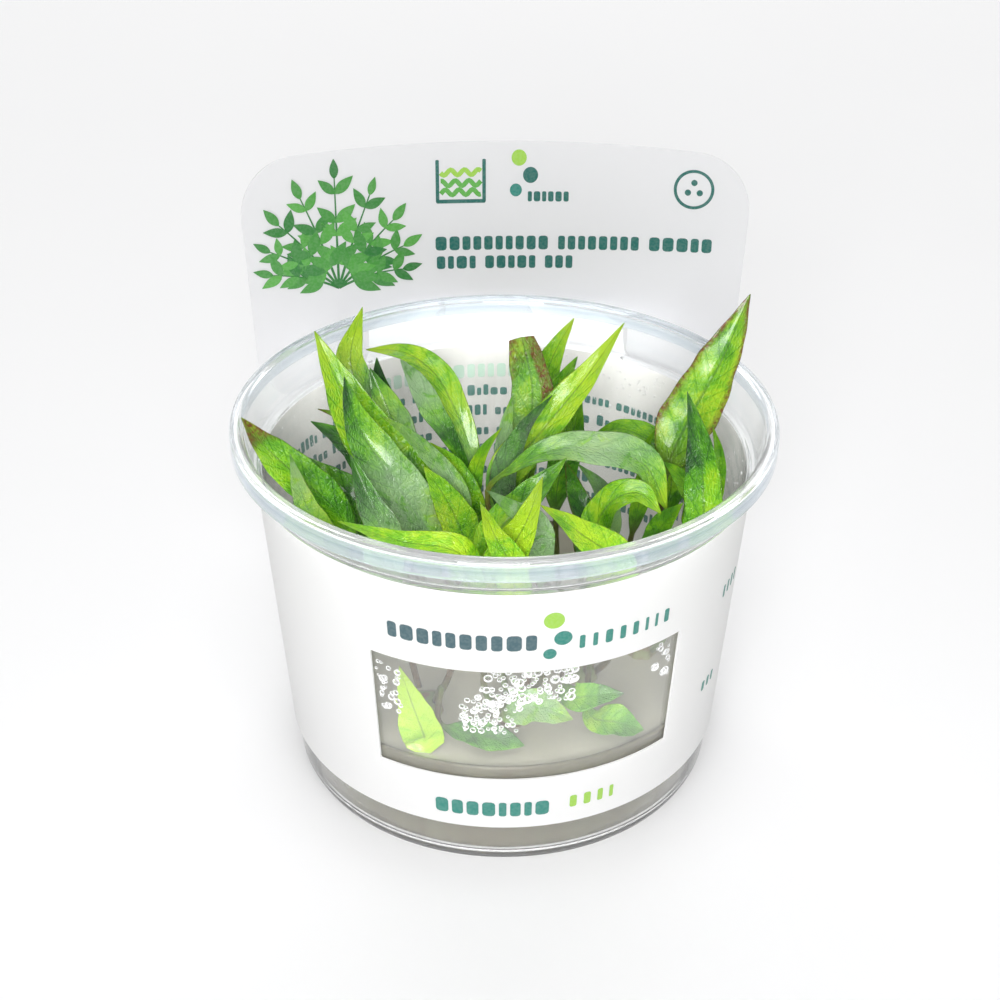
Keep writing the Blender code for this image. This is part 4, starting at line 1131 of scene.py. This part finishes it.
def seatAngles(centre, leaves):
    # leaves sit evenly round their crown, in the order of the directions that they head in
    starts = np.array([item["path"][0][:2] for item in leaves]) - centre
    heading = np.arctan2(starts[:, 1], starts[:, 0])
    order = sorted(range(len(leaves)), key=lambda i: heading[i])
    spare = sum(np.exp(1j * (heading[i] - math.tau * n / len(order))) for n, i in enumerate(order))
    start = float(np.angle(spare))
    return {i: (start + math.tau * n / len(order), n % 2) for n, i in enumerate(order)}


def leafHalf(t, item):
    # half widths: a thin stalk that ends at the tip, and a blade that is a half sine skewed to its peak
    u = np.clip((t - item["blade"]) / (1.0 - item["blade"]), 0.0, 0.99999)
    if item["blunt"]:
        blade = np.sin(math.pi * 0.86 * u ** 1.15) ** 0.7
    else:
        blade = 1.02 * np.sin(math.pi * u ** (math.log(0.5) / math.log(item["peak"]))) ** 0.95
    stalk = foliage["stalk"] * (1.0 - foliage["stalkTaper"] * t)
    stalk = stalk * np.sqrt(np.clip((1.0 - t) / 0.12, 0.0, 1.0))
    return np.maximum(item["width"] / 2 * blade, stalk), stalk


def leafPath(centreXY, item, seat, t):
    # from its seat in the crown through the points of its path
    angle, tier = seat
    out = np.array([math.cos(angle), math.sin(angle), 0.0])
    r = foliage["crownRadius"]
    foot = np.array([*centreXY, foliage["gelTop"] + foliage["seatRise"] + foliage["tierRise"] * tier])
    lean = foot + (r + foliage["leanOut"] - foliage["tierIn"] * tier) * out + [0.0, 0.0, foliage["leanUp"]]
    return sample(smoothPath([foot + (r - foliage["seatSink"]) * out, lean, *item["path"]]), t)


def leafMarks(item, s, upper, along, broad):
    # what the material reads at each point: depth of green, partly painted shade, rust, painted sheen,
    # underside, and how much it is stalk
    far = np.abs(s)[None, :]
    toneBase, toneTip = item["tone"]
    left, right = item["halfShade"]
    marginRust, tipRust, rightRust = item["rust"]
    amount, spot, length = item["paintedSheen"]
    rust = marginRust * far ** 3 + tipRust * ease(0.72, 1.0, along)
    rust = rust + rightRust * ease(0.25, 0.6, s) * ease(0.3, 0.6, along)
    paintedSheen = amount * np.exp(-((along - spot) / length) ** 2)
    # halfShade darkens or lightens each half of the blade: painted shade and painted light
    return {"tone": toneBase + (toneTip - toneBase) * along + np.where(s > 0, right, left) * far ** 0.3,
            "rust": rust * broad, "paintedSheen": paintedSheen * broad, "under": np.broadcast_to(upper < 0, along.shape),
            "stalk": np.broadcast_to(1 - broad, along.shape)}


def makeLeaf(name, centreXY, item, seat, seed):
    # a closed skin: upper side from margin to margin, then the lower side back, row after row along the
    # midrib. Height over the line between the margins = curl + margin waves + quilting between side veins
    # + or - thickness.
    start = item["blade"]
    stalkT = np.linspace(0.0, start, foliage["stalkRows"], endpoint=False)
    bladeT = 1.0 - (1.0 - start) * (1.0 - np.linspace(0.0, 1.0, foliage["bladeRows"]) ** 0.93)
    t = np.minimum(np.concatenate([stalkT, bladeT]), 0.997)
    centre, tangent = leafPath(centreXY, item, seat, t)
    side = unit(np.cross(tangent, unit(np.array(item["face"], float))))
    normal = np.cross(side, tangent)
    half, stalk = leafHalf(t, item)
    if not item["blunt"]:
        half[-1] = 0.06
    # s runs from margin to margin and back, and far is its distance from the midrib; grown runs 0 to 1
    # along the blade, and broad 0 to 1 from stalk to blade
    top = np.cos(np.linspace(0.0, math.pi, foliage["across"]))
    s = np.concatenate([top, top[-2:0:-1]])
    upper = np.concatenate([np.ones(len(top)), -np.ones(len(top) - 2)])
    upper[[0, len(top) - 1]] = 0.0
    far, h, tt = np.abs(s)[None, :], half[:, None], t[:, None]
    grown = np.clip((tt - start) / (1.0 - start), 0.0, 1.0)
    broad = ease(0.9 * start, start + 0.14, tt)

    picks = np.random.default_rng(seed)
    phase, beat = picks.uniform(0.0, math.tau, 3), picks.uniform(2.0, 3.4)
    sway = np.where(s > 0, np.sin(math.tau * beat * tt + phase[0]),
                    np.sin(math.tau * beat * 1.13 * tt + phase[1]))
    lift = foliage["curl"] * h * far ** 1.2 * broad
    lift = lift + foliage["wave"] * h * far ** 2 * sway * broad * ease(1.0, 0.9, grown)
    veinPhase = veining["count"] * (grown - veining["lean"] * far ** veining["power"])
    quilt = foliage["quilt"] * np.sin(math.tau * veinPhase) * far * (1 - far ** 4) * broad
    quilt = quilt * ease(1.0, 0.85, grown)
    ripple = (np.sin(15.0 * grown + phase[2] + 2.0 * np.sign(s))
              + 0.5 * np.sin(33.0 * grown ** 1.3 + phase[0] - np.sign(s)))
    edge = 1.0 + foliage["edgeSway"] * far ** 2 * broad * ripple

    roundness = stalk[:, None] * np.sqrt(np.clip(1 - s ** 2, 0, 1))[None, :]
    thin = foliage["thin"] * (1 - 0.5 * grown) * np.sqrt(np.clip(1 - far ** 6, 0, 1))
    rib = foliage["rib"] * (1 - 0.75 * grown) * np.exp(-(far * h / foliage["ribHalf"]) ** 2)
    flat = np.where(upper > 0, thin - 0.12 * rib, thin + 0.8 * rib)
    thick = roundness * (1 - broad) + flat * broad
    points = (centre[:, None] + side[:, None] * (s * h * edge)[..., None]
              + normal[:, None] * (lift + quilt + upper * thick)[..., None])

    rows, cols = len(t), len(s)
    ring = np.arange(cols)[None, :]
    faces = [gridFaces(rows, cols, wrap=True, flip=True), ring, (rows - 1) * cols + ring[:, ::-1]]
    along = np.broadcast_to(grown, (rows, cols))
    uv = np.stack([np.broadcast_to(0.5 + 0.5 * s, (rows, cols)), along], -1)
    return addPiece(name, points, faces, [leafBlade], uv=uv, values=leafMarks(item, s, upper, along, broad))


def makeCrown(place, centreXY, count):
    # a short stub, lobed where the leaf sheaths clasp it: radius = profile x (1 + lobes)
    x, y = centreXY
    rows, cols = foliage["crownGrid"]
    z = np.linspace(foliage["crownFoot"], cornersOf("crown_" + place)[1][2], rows)
    u = (z - z[0]) / (z[-1] - z[0])
    girth = 0.82 + 0.18 * np.sin(math.pi * u)
    girth = foliage["crownRadius"] * girth * np.sqrt(np.clip(1 - ((u - 0.5) * 1.96) ** 8, 0.02, 1))
    a = np.linspace(0.0, math.tau, cols, endpoint=False)
    r = girth[:, None] * (1 + 0.07 * np.cos(count * a[None, :] + 3.0 * u[:, None]))
    points = np.stack([x + r * np.cos(a), y + r * np.sin(a), np.repeat(z[:, None], cols, 1)], -1)
    ring = np.arange(cols)[None, :]
    faces = [gridFaces(rows, cols, wrap=True), ring[:, ::-1], (rows - 1) * cols + ring]
    stub = addPiece("crownStub_" + place, points, faces, [crownTissue])
    return settle(stub, "crown_tissue", "crown_" + place)


for number, (place, (centreXY, leaves)) in enumerate(plantlets.items()):
    makeCrown(place, centreXY, len(leaves))
    seats = seatAngles(centreXY, leaves)
    for i, item in enumerate(leaves):
        label = f"{place}_{i + 1}"
        blade = makeLeaf("blade_" + label, centreXY, item, seats[i], 100 * number + i)
        settle(blade, foliage["slots"][i % 3], "leaf_" + label)
print("leaves made:", sum(len(leaves) for _, leaves in plantlets.values()))


# Roots in the gel: each crown has a few main ones, and fine ones that wander off between them

roots = {
    "mains": 3,
    "girth": (0.55, 0.28),        # radius at the crown and at the tip
    "start": (2.0, 1.5),          # out from the crown's middle, and up from its foot
    "reach": 13.0,
    "drop": 11.5,
    "spread": 62.0,               # degrees between neighbours
    "bend": 26.0,
    "limit": 36.0,                # how near the cup's axis a tip stays
    "sides": 8,
    "fine": 8,                    # fine roots of each crown
    "fineGirth": 0.3,
    "fineLength": (14.0, 30.0),
    "fineTop": 18.6,
    "fineFoot": (2.6, 9.0),       # heights that their tips end at
    "fineFall": (0.5, 1.1),       # below 1 one drops at first and then runs level
    "fineTurn": 0.9,
    "fineClear": 1.0,             # left to the gel's side
    "fineSides": 6,
}


def tubes(lines, girths, sides):
    # closed tubes along lines of equal length: ring point = line + girth (side cos a + up sin a)
    lines, k = np.asarray(lines), len(lines[0])
    along = unit(np.gradient(lines, axis=1))
    side = unit(np.cross(along, [0.0, 0.0, 1.0]))[:, :, None]
    up = np.cross(side, along[:, :, None])
    a = np.linspace(0.0, math.tau, sides, endpoint=False)[:, None]
    rings = lines[:, :, None] + np.asarray(girths)[:, :, None, None] * (side * np.cos(a) + up * np.sin(a))
    starts = np.arange(len(lines))[:, None] * k * sides
    quads = (gridFaces(k, sides, wrap=True, flip=True)[None] + starts[:, :, None]).reshape(-1, 4)
    first = starts + np.arange(sides)
    return rings.reshape(-1, 3), [quads, first, first[:, ::-1] + (k - 1) * sides]


def makeMainRoots(place, centreXY):
    # they leave the crown under the side away from the cup's axis, spread apart and bend as they drop
    x, y = centreXY
    start, rise = roots["start"]
    t = np.linspace(0.0, 1.0, 20)
    lines, girths = [], []
    for k in range(roots["mains"]):
        way = k - (roots["mains"] - 1) / 2
        heading = math.atan2(y, x) + math.radians(roots["spread"]) * way
        inward = x * math.cos(heading) + y * math.sin(heading)
        room = math.sqrt(inward ** 2 - x * x - y * y + roots["limit"] ** 2) - inward
        reach = min(roots["reach"] - 2.0 * abs(way), room)
        turn = heading + math.radians(roots["bend"]) * t * (1 if k % 2 else -1)
        r = start + (reach - start) * t
        z = foliage["crownFoot"] + rise - (roots["drop"] - 2.0 * k) * t ** 1.3
        lines.append(np.stack([x + r * np.cos(turn), y + r * np.sin(turn), z], -1))
        girths.append(np.linspace(*roots["girth"], 20) * (1 + 0.12 * np.sin(9 * t + way + x)))
    mains = addPiece("mainRoots_" + place, *tubes(lines, girths, roots["sides"]), [rootTissue])
    return settle(mains, "crown_tissue", "crown_" + place)


def makeFineRoots():
    # they start all round each crown, wander as they sink, and stay inside the gel
    top, turn = roots["fineTop"], roots["fineTurn"]
    lines, girths = [], []
    t = np.linspace(0.0, 1.0, 14)
    for centreXY, _ in plantlets.values():
        for angle in np.linspace(0.0, math.tau, roots["fine"], endpoint=False) + draw.uniform(0, 1):
            heading = angle + draw.uniform(-turn, turn) * t + 0.5 * np.sin(7 * t + draw.uniform(0, 6))
            step = draw.uniform(*roots["fineLength"]) / len(t)
            flat = centreXY + np.cumsum(step * np.stack([np.cos(heading), np.sin(heading)], -1), 0)
            z = top - (top - draw.uniform(*roots["fineFoot"])) * t ** draw.uniform(*roots["fineFall"])
            limit = innerRadius(z)[:, None] - cup["gap"] - roots["fineClear"]
            flat = flat * np.minimum(1.0, limit / np.linalg.norm(flat, axis=1, keepdims=True))
            lines.append(np.concatenate([flat, z[:, None]], 1))
            girths.append(roots["fineGirth"] * np.linspace(1.0, 0.45, len(t)) * draw.uniform(0.7, 1.2))
    tangle = addPiece("rootTangle", *tubes(lines, girths, roots["fineSides"]), [rootTissue])
    return settle(tangle, "crown_tissue")


for place, (centreXY, _) in plantlets.items():
    makeMainRoots(place, centreXY)
makeFineRoots()
print("roots made")


# Water: drops on the inside of the wall, each a flattened dome

drops = {
    "rise": (0.0, 0.5, 0.95, 1.25),       # angles of the dome's rings
    "sides": 10,
    "depth": 0.55,                        # of the dome, as a share of its radius
    "sink": 0.06,                         # how far the dome's foot goes into the wall's gap
    # from and to in degrees, low and high, how many, smallest and largest radius
    "patches": ((-6.0, 17.0, 38.0, 45.6, 120, 0.35, 0.95), (-10.0, 4.0, 31.5, 39.0, 90, 0.3, 0.75),
                (-31.0, -24.5, 33.0, 44.0, 34, 0.3, 0.8), (38.0, 43.5, 36.0, 45.0, 16, 0.3, 0.9),
                (130.0, 172.0, 50.0, 63.0, 220, 0.1, 0.32), (85.0, 130.0, 38.0, 62.0, 130, 0.12, 0.4),
                (-150.0, -105.0, 40.0, 62.0, 110, 0.1, 0.35)),
}


def makeDrops():
    # point of a dome = middle + radius (cos rise (sideways cos a + upward sin a) - depth sin rise outward)
    rise = np.array(drops["rise"])
    n, m = len(rise), drops["sides"]
    spots = []
    for turn0, turn1, low, high, count, small, large in drops["patches"]:
        turn = draw.uniform(turn0, turn1, count)
        z = draw.uniform(low, high, count)
        size = small * (large / small) ** draw.uniform(0.0, 1.0, count) ** 1.6
        spots.append(np.stack([np.radians(turn), z, size]))
    turn, z, size = np.concatenate(spots, 1)
    count = len(turn)
    outward = np.stack([np.sin(turn), -np.cos(turn), 0.0 * turn], -1)
    sideways = np.stack([np.cos(turn), np.sin(turn), 0.0 * turn], -1)
    upward = np.array([0.0, 0.0, 1.0])
    middle = outward * (innerRadius(z) - drops["sink"])[:, None] + upward * z[:, None]
    a = np.linspace(0.0, math.tau, m, endpoint=False)[:, None]
    ring = (sideways[:, None] * np.cos(a) + upward * np.sin(a))[:, None]
    inward = -drops["depth"] * outward[:, None, None]
    dome = np.cos(rise)[:, None, None] * ring + np.sin(rise)[:, None, None] * inward
    dome = np.concatenate([dome.reshape(count, n * m, 3), inward[:, 0]], 1)
    points = middle[:, None] + size[:, None, None] * dome

    j = np.arange(m)
    start = np.arange(count)[:, None] * (n * m + 1)
    sides = (gridFaces(n, m, wrap=True, flip=True)[None] + start[..., None]).reshape(-1, 4)
    last = start + (n - 1) * m
    lids = np.stack([np.repeat(start + n * m, m, 1), last + (j + 1) % m, last + j], -1).reshape(-1, 3)
    # each drop's outer rings take a mostly white, milky material: a painted highlight for the bright edge,
    # where the drop bends the light most
    onPaintedGlint = np.tile(np.repeat([1, 1, 0], m), count)
    picks = np.concatenate([onPaintedGlint, np.zeros(len(lids) + count, int)])
    beads = addPiece("wallDrops", points, [sides, lids, start + j], [water, paintedDropGlint], picks=picks)
    beads.visible_shadow = False
    return settle(beads, "jelly")


makeDrops()
print("drops made")


# The stage: a pale floor, soft light, and the camera where the photograph was taken from

stage = {
    "floorHalf": 2500.0,
    "eye": (0.0, -291.998, 233.777),
    "target": (0.0, 0.0, 53.116),
    "roll": 0.3514,
    "lens": 65.66,
    "sensor": 36.0,
    "shift": -0.00406,
    # place, target, width and height, watts
    "lamps": {
        "frontSoftbox": ((-60, -850, 430), (0, 0, 50), (420, 320), 5.4),
        "upperSoftbox": ((0, -420, 760), (0, 20, 50), (420, 300), 1.7),
        "backPanel": ((0, 1100, 640), (0, 0, 60), (1800, 700), 7.2),
    },
    "air": 0.46,                  # strength of the white light from all round
}


def makeFloor():
    # just under the cup's foot
    u = np.linspace(-stage["floorHalf"], stage["floorHalf"], 9)
    x, y = np.meshgrid(u, u, indexing="xy")
    points = np.stack([x, y, np.full_like(x, -0.05)], -1)
    addPiece("floorSheet", points, [gridFaces(9, 9)], [floorPaper])


def aim(thing, place, target, roll=0.0):
    # turned so that it looks from its place to the target, then rolled about that line
    place, target = np.array(place, float), np.array(target, float)
    ahead = unit(target - place)
    right = unit(np.cross(ahead, [0.0, 0.0, 1.0]))
    up = np.cross(right, ahead)
    c, s = math.cos(math.radians(roll)), math.sin(math.radians(roll))
    axes = np.eye(4)
    axes[:3, 0], axes[:3, 1], axes[:3, 2] = right * c + up * s, up * c - right * s, -ahead
    axes[:3, 3] = place * mm
    thing.matrix_world = axes.T.tolist()


def addLight(name, place, target, size, watts):
    lamp = bpy.data.lights.new(name, "AREA")
    lamp.shape = "RECTANGLE"
    lamp.size, lamp.size_y = size[0] * mm, size[1] * mm
    lamp.energy = watts
    thing = bpy.data.objects.new(name, lamp)
    bpy.context.scene.collection.objects.link(thing)
    aim(thing, place, target)


def makeStage():
    makeFloor()
    for name, lamp in stage["lamps"].items():
        addLight(name, *lamp)
    world = bpy.data.worlds.new("studio")
    world.use_nodes = True
    air = world.node_tree.nodes["Background"].inputs
    air["Color"].default_value = (1.0, 1.0, 1.0, 1.0)
    air["Strength"].default_value = stage["air"]
    bpy.context.scene.world = world
    lens = bpy.data.cameras.new("photoCamera")
    lens.lens = stage["lens"]
    lens.sensor_width = stage["sensor"]
    lens.shift_x = stage["shift"]
    lens.clip_start, lens.clip_end = 0.01, 20.0
    camera = bpy.data.objects.new("photoCamera", lens)
    bpy.context.scene.collection.objects.link(camera)
    aim(camera, stage["eye"], stage["target"], stage["roll"])
    bpy.context.scene.camera = camera
    bpy.context.scene.view_settings.view_transform = "Standard"


makeStage()
print("stage made")
